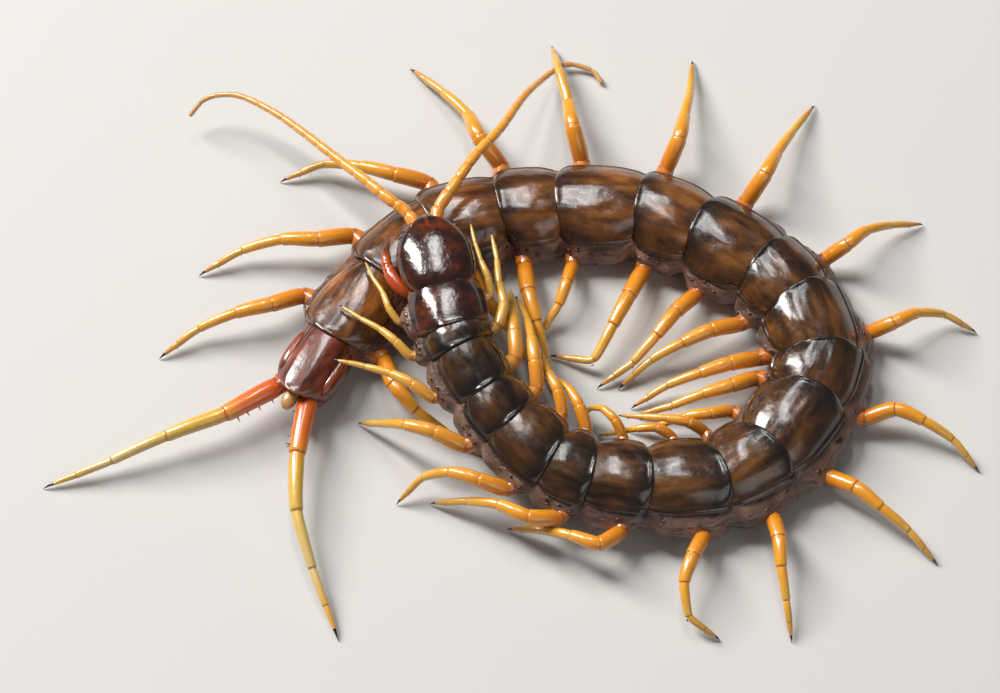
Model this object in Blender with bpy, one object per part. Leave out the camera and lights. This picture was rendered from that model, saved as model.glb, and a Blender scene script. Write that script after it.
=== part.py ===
"""A giant centipede, life size, lying in a loop with its head resting over its own tail.

Twenty-one trunk segments, each with a dark plate on its back and a pair of jointed legs, carry a
domed head, two long feelers and two venom claws. Every length below is in millimetres, and
to_metres() turns a finished shape to Blender's metres. +Z is up and the floor is z = 0. A heading
is in degrees from +X, counter-clockwise seen from above, and runs from head to tail.
"""

import math

import bmesh
import bpy
from mathutils import Matrix, Vector

# Driving dimensions
GAP = 0.3
HEAD_JOINT = (-6.6, 2.2)
FOOTPRINT_CENTRE = (1.74, 1.29)
THICKNESS_RATIO = 0.63
TAIL_RIDGE = 6.6
HEAD_LENGTH = 9.9
HEAD_WIDTH = 9.0
HEAD_HEADING = 284.0
HEAD_TOP = 12.9
HEAD_UNDERSIDE = 9.35

# Each trunk segment from the neck back: its length and width, its heading, its ridge's height
SEGMENTS = (
    (4.5, 8.5, 283.0, 12.5),
    (2.6, 8.2, 291.0, 12.3),
    (5.6, 8.2, 300.0, 11.9),
    (4.7, 8.5, 309.0, 10.7),
    (6.3, 8.7, 318.0, 9.6),
    (4.8, 8.9, 340.0, 8.7),
    (6.7, 9.2, 353.0, 8.1),
    (8.5, 9.9, 5.0, 7.8),
    (6.7, 10.3, 30.0, 7.5),
    (8.6, 10.8, 54.0, 7.5),
    (5.8, 10.7, 74.0, 7.5),
    (7.5, 10.8, 109.0, 7.5),
    (6.1, 10.7, 130.0, 7.5),
    (8.8, 11.0, 147.0, 7.5),
    (7.6, 10.8, 158.0, 7.5),
    (9.6, 11.1, 177.5, 7.5),
    (7.1, 10.8, 184.5, 7.5),
    (8.4, 10.5, 196.0, 7.5),
    (9.1, 10.2, 224.0, 7.5),
    (9.6, 9.8, 236.0, 7.5),
    (8.5, 7.6, 240.0, 7.2),
)
SEGMENTS_IN_A_LENGTH = 3

# Half of a trunk section: sideways and upward fractions of half the width and of the thickness
PLATE_HALF = ((0.42, 0.96), (0.78, 0.82), (1.0, 0.57))
UNDER_PLATE = (0.95, 0.50)
COXA_TOP, COXA_BOTTOM = 0.37, 0.12
FLANKS = {"left": 1.10, "right": 1.02}
WAIST_FLANKS = {"left": 0.96, "right": 0.92}
BELLY_EDGE = 0.70
# Along a segment: where a ring lies, how wide it is and how high its plate stands
SEGMENT_RINGS = ((0.07, 0.95, 0.985), (0.40, 1.0, 1.0), (0.84, 1.0, 1.02), (0.95, 0.97, 1.015))
WAIST_WIDTH, WAIST_RIDGE = 0.88, 0.95

# A leg of size 1, in millimetres: its sections and their thickness
TROCHANTER = 0.9
LEG_SECTIONS = (3.8, 3.5, 4.2, 4.9)
TARSUS_SPLIT, CLAW_START = 0.52, 0.82
LEG_RADII = (0.95, 0.88, 0.62, 0.44)
CLAW_RADIUS = 0.20
STANDING_ARCH = (1.5, 1.2)
STANDING = None

# Each leg from the neck back: how far along its segment it grows, its size, the bend in plan of
# its four sections in degrees towards the head from straight out, and the heights of their far
# ends where it does not simply stand
LEFT_LEGS = (
    (0.42, 0.60, (64, 86, 73, 81), (9.4, 9.3, 8.9, 8.4)),
    (0.50, 0.69, (64, 64, 54, 59), (9.2, 9.0, 8.7, 8.3)),
    (0.60, 0.80, (62, 60, 48, 45), (8.5, 8.3, 8.1, 7.9)),
    (0.72, 1.04, (60, 56, 70, 67), STANDING),
    (0.72, 1.00, (60, 68, 57, 13), STANDING),
    (0.70, 1.08, (62, 100, 90, 81), STANDING),
    (0.66, 1.00, (42, 107, 107, 99), STANDING),
    (0.66, 0.98, (30, 25, -3, -57), STANDING),
    (0.51, 0.98, (20, 28, 21, 22), STANDING),
    (0.32, 1.06, (-5, 5, 0, 11), STANDING),
    (0.12, 1.02, (-30, 9, 11, 32), STANDING),
    (0.20, 0.96, (-40, 12, 7, 41), STANDING),
    (0.22, 0.97, (-44, 18, 12, 26), STANDING),
    (0.44, 1.20, (-52, 4, -5, 0), STANDING),
    (0.53, 1.19, (-50, 1, -11, -17), STANDING),
    (0.58, 1.26, (-52, -6, -16, -11), (3.9, 3.9, 3.7, 0.35)),
    (0.68, 1.28, (-60, -14, -34, -39), STANDING),
    (0.75, 1.20, (-68, -56, -60, -90), STANDING),
    (0.78, 1.24, (-64, -42, -55, -71), STANDING),
    (0.70, 1.21, (-62, -46, -51, -67), STANDING),
)
RIGHT_LEGS = (
    (0.26, 0.60, (76, 112, 90, 92), (9.8, 9.9, 9.7, 9.4)),
    (0.34, 0.76, (48, 84, 70, 88), (8.3, 8.1, 7.9, 7.9)),
    (0.71, 0.95, (64, 65, 60, 62), (7.6, 6.6, 3.6, 0.35)),
    (0.72, 0.90, (58, 58, 60, 70), (7.3, 7.1, 5.4, 3.8)),
    (0.62, 0.76, (56, 68, 60, 55), (6.2, 6.0, 5.0, 4.2)),
    (0.52, 0.78, (41, 47, 62, 72), (5.6, 5.3, 3.6, 1.6)),
    (0.53, 0.63, (40, 48, 65, 138), STANDING),
    (0.50, 0.64, (66, 86, 72, 80), (4.2, 3.8, 2.0, 0.35)),
    (0.22, 0.72, (50, 50, 48, 42), (4.5, 4.6, 3.7, 2.0)),
    (0.23, 0.80, (56, 38, 46, 40), (3.6, 3.2, 1.8, 0.35)),
    (0.22, 0.98, (46, 31, 31, 22), STANDING),
    (0.20, 1.04, (2, -1, -5, 8), STANDING),
    (0.39, 1.06, (-19, -15, -17, -2), STANDING),
    (0.59, 1.07, (-8, -4, -10, -27), STANDING),
    (0.70, 1.21, (-2, -5, -6, -86), STANDING),
    (0.86, 0.85, (-11, -16, -34, -21), (3.7, 3.0, 1.4, 0.35)),
    (0.76, 1.14, (0, 10, 10, 12), STANDING),
    (0.80, 0.98, (2, 25, 23, 17), (3.9, 3.3, 1.5, 0.35)),
    (0.62, 0.89, (-44, 5, -12, -18), (4.0, 3.4, 1.6, 0.35)),
    (0.88, 1.15, (-40, -16, 4, 5), (4.0, 3.2, 1.4, 0.35)),
)

# The last pair of legs trails behind the body: bends are towards the body's own side
LAST_LEG_SECTIONS = (6.3, 7.2, 7.4, 8.9)
LAST_LEG_RADII = (1.2, 0.95, 0.66, 0.46)
LAST_LEG_OUT = 2.2
LAST_LEG_BENDS = {"left": (42, 36, 35, 42), "right": (18, 31, 44, 50)}
LAST_LEG_HEIGHTS = (4.2, 3.8, 2.2, 0.35)

# Feelers: ahead of the head's front, to its left, and up, all from the place between the sockets
FEELER_ARTICLES = 18
FEELER_BASE_RADIUS, FEELER_TIP_RADIUS = 0.82, 0.27
LEFT_FEELER = (
    (1.1, 2.1, -0.5),
    (2.9, 3.6, -0.2),
    (6.3, 5.8, -0.4),
    (10.7, 8.6, -1.1),
    (15.2, 11.3, -2.1),
    (19.4, 14.0, -3.3),
    (23.7, 17.6, -5.1),
    (25.2, 21.2, -6.8),
    (24.1, 23.7, -8.2),
)
RIGHT_FEELER = (
    (0.8, -2.3, -0.4),
    (1.9, -3.5, -0.1),
    (6.0, -7.6, -0.3),
    (9.8, -11.8, -1.8),
    (15.2, -16.3, -4.7),
    (19.8, -20.7, -9.1),
    (21.2, -23.2, -10.5),
    (19.9, -25.9, -10.9),
    (18.0, -26.7, -11.1),
)


def to_metres(point):
    return Vector(point) * 0.001


def heading_vector(degrees):
    angle = math.radians(degrees)
    return Vector((math.cos(angle), math.sin(angle), 0.0))


def left_of(direction):
    """The animal's own left, for a direction that points to its tail."""
    return Vector((direction.y, -direction.x, 0.0))


def between(start, end, share):
    return start + (end - start) * share


def clear_scene():
    for item in list(bpy.data.objects):
        bpy.data.objects.remove(item, do_unlink=True)


# Materials and objects
def paint(item, colour, roughness):
    material = bpy.data.materials.new(item.name)
    material.use_nodes = True
    shader = material.node_tree.nodes["Principled BSDF"]
    red, green, blue = (int(colour[i : i + 2], 16) / 255 for i in (1, 3, 5))
    shader.inputs["Base Color"].default_value = (red**2.2, green**2.2, blue**2.2, 1.0)
    shader.inputs["Roughness"].default_value = roughness
    shader.inputs["Metallic"].default_value = 0.0
    item.data.materials.clear()
    item.data.materials.append(material)


def new_object(name, shape, collection):
    """A mesh object made of a bmesh whose points are in millimetres from the footprint's centre."""
    bmesh.ops.recalc_face_normals(shape, faces=shape.faces)
    for vertex in shape.verts:
        vertex.co = to_metres(vertex.co)
    mesh = bpy.data.meshes.new(name)
    shape.to_mesh(mesh)
    shape.free()
    mesh.shade_smooth()
    mesh.set_sharp_from_angle(angle=math.radians(40))
    item = bpy.data.objects.new(name, mesh)
    collection.objects.link(item)
    return item


def loft(rings):
    """A closed shape through rings of equally many points, with a flat cap at each end."""
    shape = bmesh.new()
    rows = [[shape.verts.new(point) for point in ring] for ring in rings]
    count = len(rows[0])
    for near, far in zip(rows, rows[1:]):
        for i in range(count):
            shape.faces.new((near[i], near[(i + 1) % count], far[(i + 1) % count], far[i]))
    for row in (rows[0], rows[-1]):
        centre = shape.verts.new(sum((v.co for v in row), Vector()) / count)
        for i in range(count):
            shape.faces.new((row[i], row[(i + 1) % count], centre))
    return shape


def tube_ring(centre, along, radius, sides, flatten=1.0):
    """A ring round the direction along, with an edge of the polygon underneath."""
    side = Vector((along.y, -along.x, 0.0)).normalized()
    up = side.cross(along).normalized()
    if up.z < 0:
        up = -up
    ring = []
    for i in range(sides):
        angle = 2 * math.pi * (i + 0.5) / sides
        ring.append(centre + side * math.sin(angle) * radius - up * math.cos(angle) * radius * flatten)
    return ring


def tube_rings(stations, sides, first_along=None):
    """Rings at stations, which are centre and radius pairs, each square to the path there."""
    rings = []
    for i, (centre, radius) in enumerate(stations):
        before = stations[max(i - 1, 0)][0]
        after = stations[min(i + 1, len(stations) - 1)][0]
        arriving = (centre - before).normalized() if i else Vector()
        leaving = (after - centre).normalized() if i + 1 < len(stations) else Vector()
        along = (arriving + leaving).normalized()
        if i == 0 and first_along is not None:
            along = first_along
        rings.append(tube_ring(centre, along, radius, sides))
    return rings


def on_floor(rings):
    """Points that would sink below the floor are laid flat on it, which gives each foot its flat."""
    return [[Vector((p.x, p.y, max(p.z, 0.0))) for p in ring] for ring in rings]


def surfaces_of(shape):
    """The separate closed surfaces of a bmesh, each a list of faces."""
    unseen = set(shape.faces)
    found = []
    while unseen:
        queue = [unseen.pop()]
        surface = []
        while queue:
            face = queue.pop()
            surface.append(face)
            for edge in face.edges:
                for other in edge.link_faces:
                    if other in unseen:
                        unseen.remove(other)
                        queue.append(other)
        found.append(surface)
    return found


def span(surface):
    points = [vertex.co for face in surface for vertex in face.verts]
    return sum(max(p[i] for p in points) - min(p[i] for p in points) for i in range(3))


def union(main, pieces):
    """Pieces fused to the main object, which keeps only its largest closed surface."""
    helpers = bpy.data.collections.new(main.name + "_pieces")
    for piece in pieces:
        for holder in piece.users_collection:
            holder.objects.unlink(piece)
        helpers.objects.link(piece)
    fuse = main.modifiers.new("fuse", "BOOLEAN")
    fuse.operation = "UNION"
    fuse.operand_type = "COLLECTION"
    fuse.collection = helpers
    fuse.solver = "EXACT"
    graph = bpy.context.evaluated_depsgraph_get()
    mesh = bpy.data.meshes.new_from_object(main.evaluated_get(graph))
    main.modifiers.remove(fuse)
    shape = bmesh.new()
    shape.from_mesh(mesh)
    surfaces = sorted(surfaces_of(shape), key=span)
    loose = [face for surface in surfaces[:-1] for face in surface]
    bmesh.ops.delete(shape, geom=loose, context="FACES")
    shape.to_mesh(mesh)
    shape.free()
    main.data = mesh
    for piece in pieces:
        bpy.data.objects.remove(piece, do_unlink=True)
    bpy.data.collections.remove(helpers)


def ball(name, centre, radii, collection, turn=0.0, segments=8, rows=6):
    """A small egg shape at a place in millimetres, turned about the vertical."""
    shape = bmesh.new()
    bmesh.ops.create_uvsphere(shape, u_segments=segments, v_segments=rows, radius=1.0)
    stretch = Matrix.Diagonal((*radii, 1.0))
    place = Matrix.Translation(centre) @ Matrix.Rotation(math.radians(turn), 4, "Z") @ stretch
    bmesh.ops.transform(shape, matrix=place, verts=shape.verts)
    return new_object(name, shape, collection)


# The trunk
def joint_places():
    """The ridge line's points from the neck to the tail's end."""
    place = Vector((*HEAD_JOINT, 0.0)) - Vector((*FOOTPRINT_CENTRE, 0.0))
    places = [place]
    for length, _, heading, _ in SEGMENTS:
        place = place + heading_vector(heading) * length
        places.append(place)
    heights = [row[3] for row in SEGMENTS] + [TAIL_RIDGE]
    return [Vector((p.x, p.y, z)) for p, z in zip(places, heights)]


def joint_normals():
    """The direction square to each joint's plane, halfway between its neighbours' headings."""
    headings = [row[2] for row in SEGMENTS]
    headings = [headings[0]] + headings + [headings[-1]]
    return [
        (heading_vector(a) + heading_vector(b)).normalized() for a, b in zip(headings, headings[1:])
    ]


JOINTS = joint_places()
NORMALS = joint_normals()


def trunk_point(index, share, sideways, height, inset=0.0):
    """A point of a segment: share runs between its two joint planes, sideways is to the left."""
    along = heading_vector(SEGMENTS[index][2])
    left = left_of(along)
    ends = []
    for joint, normal, margin in (
        (JOINTS[index], NORMALS[index], inset),
        (JOINTS[index + 1], NORMALS[index + 1], -inset),
    ):
        reach = (margin - sideways * left.dot(normal)) / along.dot(normal)
        ends.append(Vector((joint.x, joint.y, 0.0)) + left * sideways + along * reach)
    place = between(ends[0], ends[1], share)
    return Vector((place.x, place.y, height))


def ridge_at(index, share):
    return between(JOINTS[index].z, JOINTS[index + 1].z, share)


def section(index, share, width, plate, flanks, inset=0.0):
    """The ring of one trunk section, whose sides reach out to the flanks, in half widths."""
    full = width * THICKNESS_RATIO
    ridge = ridge_at(index, share)
    belly = ridge - full
    top = [(y, z * plate) for y, z in PLATE_HALF]
    ring = [trunk_point(index, share, 0.0, belly + full * plate, inset)]
    for side, sign in (("left", 1), ("right", -1)):
        flank = flanks[side]
        half = [*top, UNDER_PLATE, (flank, COXA_TOP), (flank, COXA_BOTTOM), (BELLY_EDGE, 0.0)]
        if side == "right":
            half.reverse()
        for y, z in half:
            ring.append(trunk_point(index, share, sign * y * width / 2, belly + full * z, inset))
    return ring


def waist(joint, index, share, inset=0.0):
    """The narrow ring between two segments."""
    near = SEGMENTS[max(joint - 1, 0)][1]
    far = SEGMENTS[min(joint, len(SEGMENTS) - 1)][1]
    return section(index, share, (near + far) / 2 * WAIST_WIDTH, WAIST_RIDGE, WAIST_FLANKS, inset)


def trunk_length(number, collection):
    """A few segments in a row as one piece, cut square at the joints at its ends."""
    first = number * SEGMENTS_IN_A_LENGTH
    last = first + SEGMENTS_IN_A_LENGTH - 1
    rings = []
    for index in range(first, last + 1):
        start = GAP / 2 if index == first else 0.0
        rings.append(waist(index, index, 0.0, start))
        for share, wide, plate in SEGMENT_RINGS:
            width = SEGMENTS[index][1] * wide
            flanks = {side: flank / wide for side, flank in FLANKS.items()}
            rings.append(section(index, share, width, plate, flanks))
    rings.append(waist(last + 1, last, 1.0, GAP / 2))
    item = new_object(f"trunk_{number + 1}", loft(rings), collection)
    paint(item, "#3A2418", 0.28)
    return item


def finish_tail(tail, collection):
    """The swollen hip plates of the last pair of legs and the blunt end piece between them."""
    last = len(SEGMENTS) - 1
    heading = SEGMENTS[last][2]
    along = heading_vector(heading)
    left = left_of(along)
    end = JOINTS[-1]
    pieces = []
    for name, sign in (("left", 1), ("right", -1)):
        centre = end - along * 3.3 + left * sign * 2.65
        centre.z = 3.9
        pieces.append(ball("coxopleura_" + name, centre, (3.6, 1.9, 1.85), collection, heading))
        spine = end + along * 0.35 + left * sign * 0.5
        spine.z = 3.2
        pieces.append(ball("spine_" + name, spine, (1.2, 0.32, 0.32), collection, heading, 6, 4))
    centre = end + along * 0.5
    centre.z = 4.3
    pieces.append(ball("end_piece", centre, (2.1, 0.78, 0.95), collection, heading))
    union(tail, pieces)
    paint(tail, "#6A2E1C", 0.3)


# The legs
def leg_stations(start, outward, sections, radii, directions, heights):
    """Centres and radii along a leg, from its hip to the tip of its claw."""
    joints = [start, start + outward * TROCHANTER]
    for length, direction, height in zip(sections, directions, heights):
        drop = height - joints[-1].z
        reach = math.sqrt(max(length**2 - drop**2, 0.2))
        place = joints[-1] + direction * reach
        joints.append(Vector((place.x, place.y, height)))
    stations = [(joints[0], radii[0]), (joints[1], radii[0] * 0.92)]
    for i in range(3):
        near, far, radius = joints[i + 1], joints[i + 2], radii[i]
        stations.append((between(near, far, 0.22), radius))
        stations.append((between(near, far, 0.84), radius * 0.96))
        stations.append((far, (radius + radii[i + 1]) / 2 * 0.86))
    near, far = joints[4], joints[5]
    stations.append((between(near, far, TARSUS_SPLIT * 0.6), radii[3]))
    stations.append((between(near, far, TARSUS_SPLIT), radii[3] * 0.72))
    stations.append((between(near, far, TARSUS_SPLIT + 0.16), radii[3] * 0.78))
    claw = between(near, far, CLAW_START)
    tip_height = far.z - 0.25
    stations.append((claw, CLAW_RADIUS * 1.1))
    middle = between(claw, far, 0.5)
    stations.append((Vector((middle.x, middle.y, between(claw.z, tip_height, 0.75))), CLAW_RADIUS * 0.8))
    stations.append((Vector((far.x, far.y, tip_height)), CLAW_RADIUS * 0.5))
    return stations


def hip(index, side, share):
    """The centre of a leg's first ring, a gap away from the flat of its segment's side."""
    _, width, heading, _ = SEGMENTS[index]
    sign = 1 if side == "left" else -1
    full = width * THICKNESS_RATIO
    height = ridge_at(index, share) - full * (1 - (COXA_TOP + COXA_BOTTOM) / 2)
    sideways = sign * (width / 2 * FLANKS[side] + GAP)
    return trunk_point(index, share, sideways, height), left_of(heading_vector(heading)) * sign


def bend_directions(outward, forward, bends):
    return [
        outward * math.cos(math.radians(bend)) + forward * math.sin(math.radians(bend))
        for bend in bends
    ]


def walking_leg(index, side, row, collection):
    share, size, bends, heights = row
    start, outward = hip(index, side, share)
    if heights is STANDING:
        knee, femur_end = STANDING_ARCH
        heights = (start.z + knee, start.z + femur_end, 1.0 + start.z / 2, 0.35)
    forward = -heading_vector(SEGMENTS[index][2])
    directions = bend_directions(outward, forward, bends)
    sections = [length * size for length in LEG_SECTIONS]
    radii = [radius * (0.45 + 0.5 * size) for radius in LEG_RADII]
    stations = leg_stations(start, outward, sections, radii, directions, heights)
    rings = on_floor(tube_rings(stations, 6, outward))
    item = new_object(f"leg_{side}_{index + 1:02d}", loft(rings), collection)
    paint(item, "#E2962A", 0.3)
    return item


def last_leg(side, collection):
    """One of the two long legs that trail behind the body."""
    last = len(SEGMENTS) - 1
    sign = 1 if side == "left" else -1
    along = heading_vector(SEGMENTS[last][2])
    left = left_of(along)
    start = JOINTS[-1] + left * sign * LAST_LEG_OUT + along * GAP * 2
    start.z = 3.9
    directions = bend_directions(along, left * sign, LAST_LEG_BENDS[side])
    stations = leg_stations(
        start, along, LAST_LEG_SECTIONS, LAST_LEG_RADII, directions, LAST_LEG_HEIGHTS
    )
    rings = on_floor(tube_rings(stations, 8, along))
    item = new_object(f"leg_{side}_{last + 1:02d}", loft(rings), collection)
    paint(item, "#D5591F", 0.3)
    return item


# The head
HEAD_BACK = JOINTS[0]
HEAD_ALONG = heading_vector(HEAD_HEADING)
HEAD_LEFT = left_of(HEAD_ALONG)
# Along the head from its front: half its width, and the height of its crown over the margin
HEAD_OUTLINE = (
    (0.00, 0.20, 0.25),
    (0.05, 0.36, 0.42),
    (0.14, 0.58, 0.62),
    (0.27, 0.80, 0.82),
    (0.42, 0.95, 0.96),
    (0.57, 1.00, 1.00),
    (0.72, 0.97, 0.97),
    (0.85, 0.86, 0.86),
    (0.95, 0.68, 0.70),
    (1.00, 0.56, 0.55),
)
HEAD_MARGIN = 10.7


def head_point(share, sideways, height):
    """share runs from 0 at the head's front to 1 at the neck; sideways is to the left."""
    back = HEAD_BACK - HEAD_ALONG * GAP / 2
    place = back - HEAD_ALONG * HEAD_LENGTH * (1 - share) + HEAD_LEFT * sideways
    return Vector((place.x, place.y, height))


def head_ring(share, width, crown, sides=18):
    ring = []
    for i in range(sides):
        angle = 2 * math.pi * i / sides
        across, up = math.cos(angle), math.sin(angle)
        if up >= 0:
            height = HEAD_MARGIN + (HEAD_TOP - HEAD_MARGIN) * crown * up**0.85
        else:
            height = HEAD_MARGIN + (HEAD_UNDERSIDE - HEAD_MARGIN) * min(1.0, width * 1.25) * (-up) ** 0.6
        spread = math.copysign(abs(across) ** 0.85, across)
        ring.append(head_point(share, spread * width * HEAD_WIDTH / 2, height))
    return ring


def make_head(collection):
    rings = [head_ring(*row) for row in HEAD_OUTLINE]
    head = new_object("head", loft(rings), collection)
    pieces = []
    for sign in (1, -1):
        socket = head_point(0.06, sign * 1.45, 10.95)
        pieces.append(ball("socket", socket, (0.95, 0.95, 0.9), collection))
        for share, sideways, height in (
            (0.21, 3.02, 11.05),
            (0.27, 3.38, 10.95),
            (0.21, 2.85, 11.42),
            (0.27, 3.2, 11.4),
        ):
            place = head_point(share, sign * sideways, height)
            pieces.append(ball("eye", place, (0.3, 0.3, 0.3), collection))
    union(head, pieces)
    paint(head, "#3B120B", 0.2)
    return head


# Under the head: the plate that carries the venom claws, and the claws
def make_claw_base(collection):
    """The flat plate below the head, with two toothed lobes at its front."""
    rings = []
    for share, half_width in ((0.30, 1.3), (0.38, 1.9), (0.55, 2.5), (0.80, 2.75), (1.0, 2.9)):
        ring = []
        for i in range(12):
            angle = 2 * math.pi * i / 12
            across = math.copysign(abs(math.cos(angle)) ** 0.7, math.cos(angle))
            up = math.copysign(abs(math.sin(angle)) ** 0.6, math.sin(angle))
            ring.append(head_point(share, across * half_width, 8.62 + up * 0.42))
        rings.append(ring)
    plate = new_object("venom_claw_base", loft(rings), collection)
    lobes = []
    for sign in (1, -1):
        place = head_point(0.29, sign * 0.65, 8.62)
        lobes.append(ball("lobe", place, (0.55, 0.6, 0.34), collection))
    union(plate, lobes)
    paint(plate, "#7A2C16", 0.3)
    return plate


# Each venom claw: along the head, sideways, height and radius of its stations
LEFT_VENOM_CLAW = (
    (0.89, 3.6, 8.9, 0.70),
    (0.82, 4.5, 9.1, 0.85),
    (0.70, 5.2, 9.3, 0.85),
    (0.58, 5.5, 9.4, 0.78),
    (0.50, 5.6, 9.4, 0.66),
    (0.42, 5.6, 9.4, 0.66),
    (0.30, 5.4, 9.35, 0.48),
    (0.21, 5.0, 9.25, 0.30),
    (0.14, 4.6, 9.1, 0.12),
)
RIGHT_VENOM_CLAW = (
    (0.92, -3.35, 8.75, 0.66),
    (0.83, -3.75, 8.72, 0.62),
    (0.68, -3.95, 8.70, 0.60),
    (0.56, -3.90, 8.68, 0.56),
    (0.44, -3.55, 8.65, 0.50),
    (0.32, -2.9, 8.60, 0.40),
    (0.24, -2.2, 8.55, 0.26),
    (0.19, -1.5, 8.5, 0.12),
)


def venom_claw(side, rows, collection):
    sign = 1 if side == "left" else -1
    stations = [(head_point(share, out, height), radius) for share, out, height, radius in rows]
    rings = tube_rings(stations, 8, HEAD_LEFT * sign)
    item = new_object(f"venom_claw_{side}", loft(rings), collection)
    paint(item, "#B23A16", 0.25)
    return item


# The feelers
def smooth_path(points, count):
    """Evenly spaced points on a smooth curve through the given ones."""
    ends = [points[0] * 2 - points[1], *points, points[-1] * 2 - points[-2]]
    fine = []
    for a, b, c, d in zip(ends, ends[1:], ends[2:], ends[3:]):
        for step in range(12):
            t = step / 12
            fine.append(
                0.5 * (2 * b + (c - a) * t + (2 * a - 5 * b + 4 * c - d) * t**2 + (3 * b - a - 3 * c + d) * t**3)
            )
    fine.append(points[-1])
    lengths = [0.0]
    for a, b in zip(fine, fine[1:]):
        lengths.append(lengths[-1] + (b - a).length)
    placed = []
    i = 0
    for step in range(count):
        target = lengths[-1] * step / (count - 1)
        while i < len(fine) - 2 and lengths[i + 1] < target:
            i += 1
        share = (target - lengths[i]) / (lengths[i + 1] - lengths[i])
        placed.append(between(fine[i], fine[i + 1], share))
    return placed


def feeler(side, rows, collection):
    """A chain of short articles, each a little swollen, thinner towards the tip."""
    points = []
    for ahead, left, up in rows:
        place = head_point(0.0, left, HEAD_MARGIN + 1.0 + up)
        points.append(place - HEAD_ALONG * ahead)
    path = smooth_path(points, FEELER_ARTICLES * 2 + 1)
    stations = []
    for i, place in enumerate(path):
        share = i / (len(path) - 1)
        radius = between(FEELER_BASE_RADIUS, FEELER_TIP_RADIUS, share**0.8)
        stations.append((place, radius * (1.0 if i % 2 else 0.84)))
    item = new_object(f"feeler_{side}", loft(tube_rings(stations, 6)), collection)
    paint(item, "#E0922C", 0.35)
    return item


def main():
    clear_scene()
    animal = bpy.data.collections.new("giant_centipede")
    bpy.context.scene.collection.children.link(animal)
    lengths = len(SEGMENTS) // SEGMENTS_IN_A_LENGTH
    trunk = [trunk_length(number, animal) for number in range(lengths)]
    finish_tail(trunk[-1], animal)
    for index, row in enumerate(LEFT_LEGS):
        walking_leg(index, "left", row, animal)
    for index, row in enumerate(RIGHT_LEGS):
        walking_leg(index, "right", row, animal)
    for side in ("left", "right"):
        last_leg(side, animal)
    make_head(animal)
    make_claw_base(animal)
    venom_claw("left", LEFT_VENOM_CLAW, animal)
    venom_claw("right", RIGHT_VENOM_CLAW, animal)
    feeler("left", LEFT_FEELER, animal)
    feeler("right", RIGHT_FEELER, animal)


main()
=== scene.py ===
# %% [markdown]
# # A giant centipede in Blender
# A giant centipede is a long chain of twenty-one trunk segments. Each carries one hard, glossy
# back plate, one belly plate, soft wrinkled sides and a pair of jointed legs. This lesson dresses
# a plain solid model of one, curled in a loop with its head over its tail, in its real surfaces.
# The solids come from the frame, in metres. The shapes below are worked out in millimetres and
# turned to metres when a mesh is made.

import math

import bmesh
import bpy
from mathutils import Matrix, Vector, noise


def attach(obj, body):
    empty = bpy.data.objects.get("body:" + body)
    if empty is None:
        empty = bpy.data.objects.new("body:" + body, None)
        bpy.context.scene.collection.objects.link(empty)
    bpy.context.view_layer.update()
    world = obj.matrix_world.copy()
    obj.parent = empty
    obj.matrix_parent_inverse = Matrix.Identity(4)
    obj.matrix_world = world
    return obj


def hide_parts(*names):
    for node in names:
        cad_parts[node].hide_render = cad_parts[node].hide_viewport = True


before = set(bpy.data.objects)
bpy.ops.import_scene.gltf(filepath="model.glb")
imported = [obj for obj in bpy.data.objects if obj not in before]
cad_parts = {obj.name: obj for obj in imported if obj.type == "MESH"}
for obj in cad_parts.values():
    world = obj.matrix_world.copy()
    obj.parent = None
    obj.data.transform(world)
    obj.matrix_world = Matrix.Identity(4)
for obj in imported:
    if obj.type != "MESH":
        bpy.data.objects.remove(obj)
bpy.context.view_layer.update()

# %% [markdown]
# ## Small helpers
# Colours are written as the hex values a picture shows, and one function turns them to the linear
# values that shaders want. One more function adds a node to any tree with its settings and links:
# a name with a capital, or a number, is a socket, `stops` are a colour ramp's places and colours,
# and any other name is a setting of the node itself.


# %% Helpers for colours and nodes
def linear(hex_value):
    channels = [int(hex_value[i : i + 2], 16) / 255 for i in (1, 3, 5)]
    return (*[c / 12.92 if c < 0.04045 else ((c + 0.055) / 1.055) ** 2.4 for c in channels], 1.0)


def set_sockets(node, values):
    for name, value in values.items():
        node.inputs[name].default_value = value


def add_node(tree, kind, settings=None, links=None):
    """A node with its settings. A link comes from a socket, or from a node's first output."""
    node = tree.nodes.new(kind)
    for name, value in (settings or {}).items():
        if name == "stops":
            for _ in value[2:]:
                node.color_ramp.elements.new(0.5)
            for element, (place, colour) in zip(node.color_ramp.elements, value):
                element.position = place
                element.color = linear(colour)
        elif isinstance(name, int) or name[0].isupper():
            set_sockets(node, {name: value})
        else:
            setattr(node, name, value)
    for name, source in (links or {}).items():
        tree.links.new(getattr(source, "outputs", [source])[0], node.inputs[name])
    return node


def place_object(name, data):
    piece = bpy.data.objects.new(name, data)
    bpy.context.scene.collection.objects.link(piece)
    return piece


# %% [markdown]
# A mesh here is a list of points and faces, made by rules in code, because an animal's surfaces
# are lofts between sections that change all the way along. Each point can carry named numbers,
# such as how far along a leg it lies, and the materials read those numbers. That way a colour
# follows the shape and never slides.


# %% Helpers for meshes
def new_piece(name, points, faces, values=None, charts=None):
    """A smooth mesh object from points in millimetres, with its attributes."""
    mesh = bpy.data.meshes.new(name)
    mesh.from_pydata([p * 0.001 for p in points], [], faces)
    for key, numbers in (values or {}).items():
        mesh.attributes.new(key, "FLOAT", "POINT").data.foreach_set("value", numbers)
    if charts:
        flat = [n for chart in charts for n in chart]
        mesh.attributes.new("chart", "FLOAT_VECTOR", "POINT").data.foreach_set("vector", flat)
    shape = bmesh.new()
    shape.from_mesh(mesh)
    bmesh.ops.recalc_face_normals(shape, faces=shape.faces)
    shape.to_mesh(mesh)
    shape.free()
    mesh.shade_smooth()
    return place_object(name, mesh)


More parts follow.
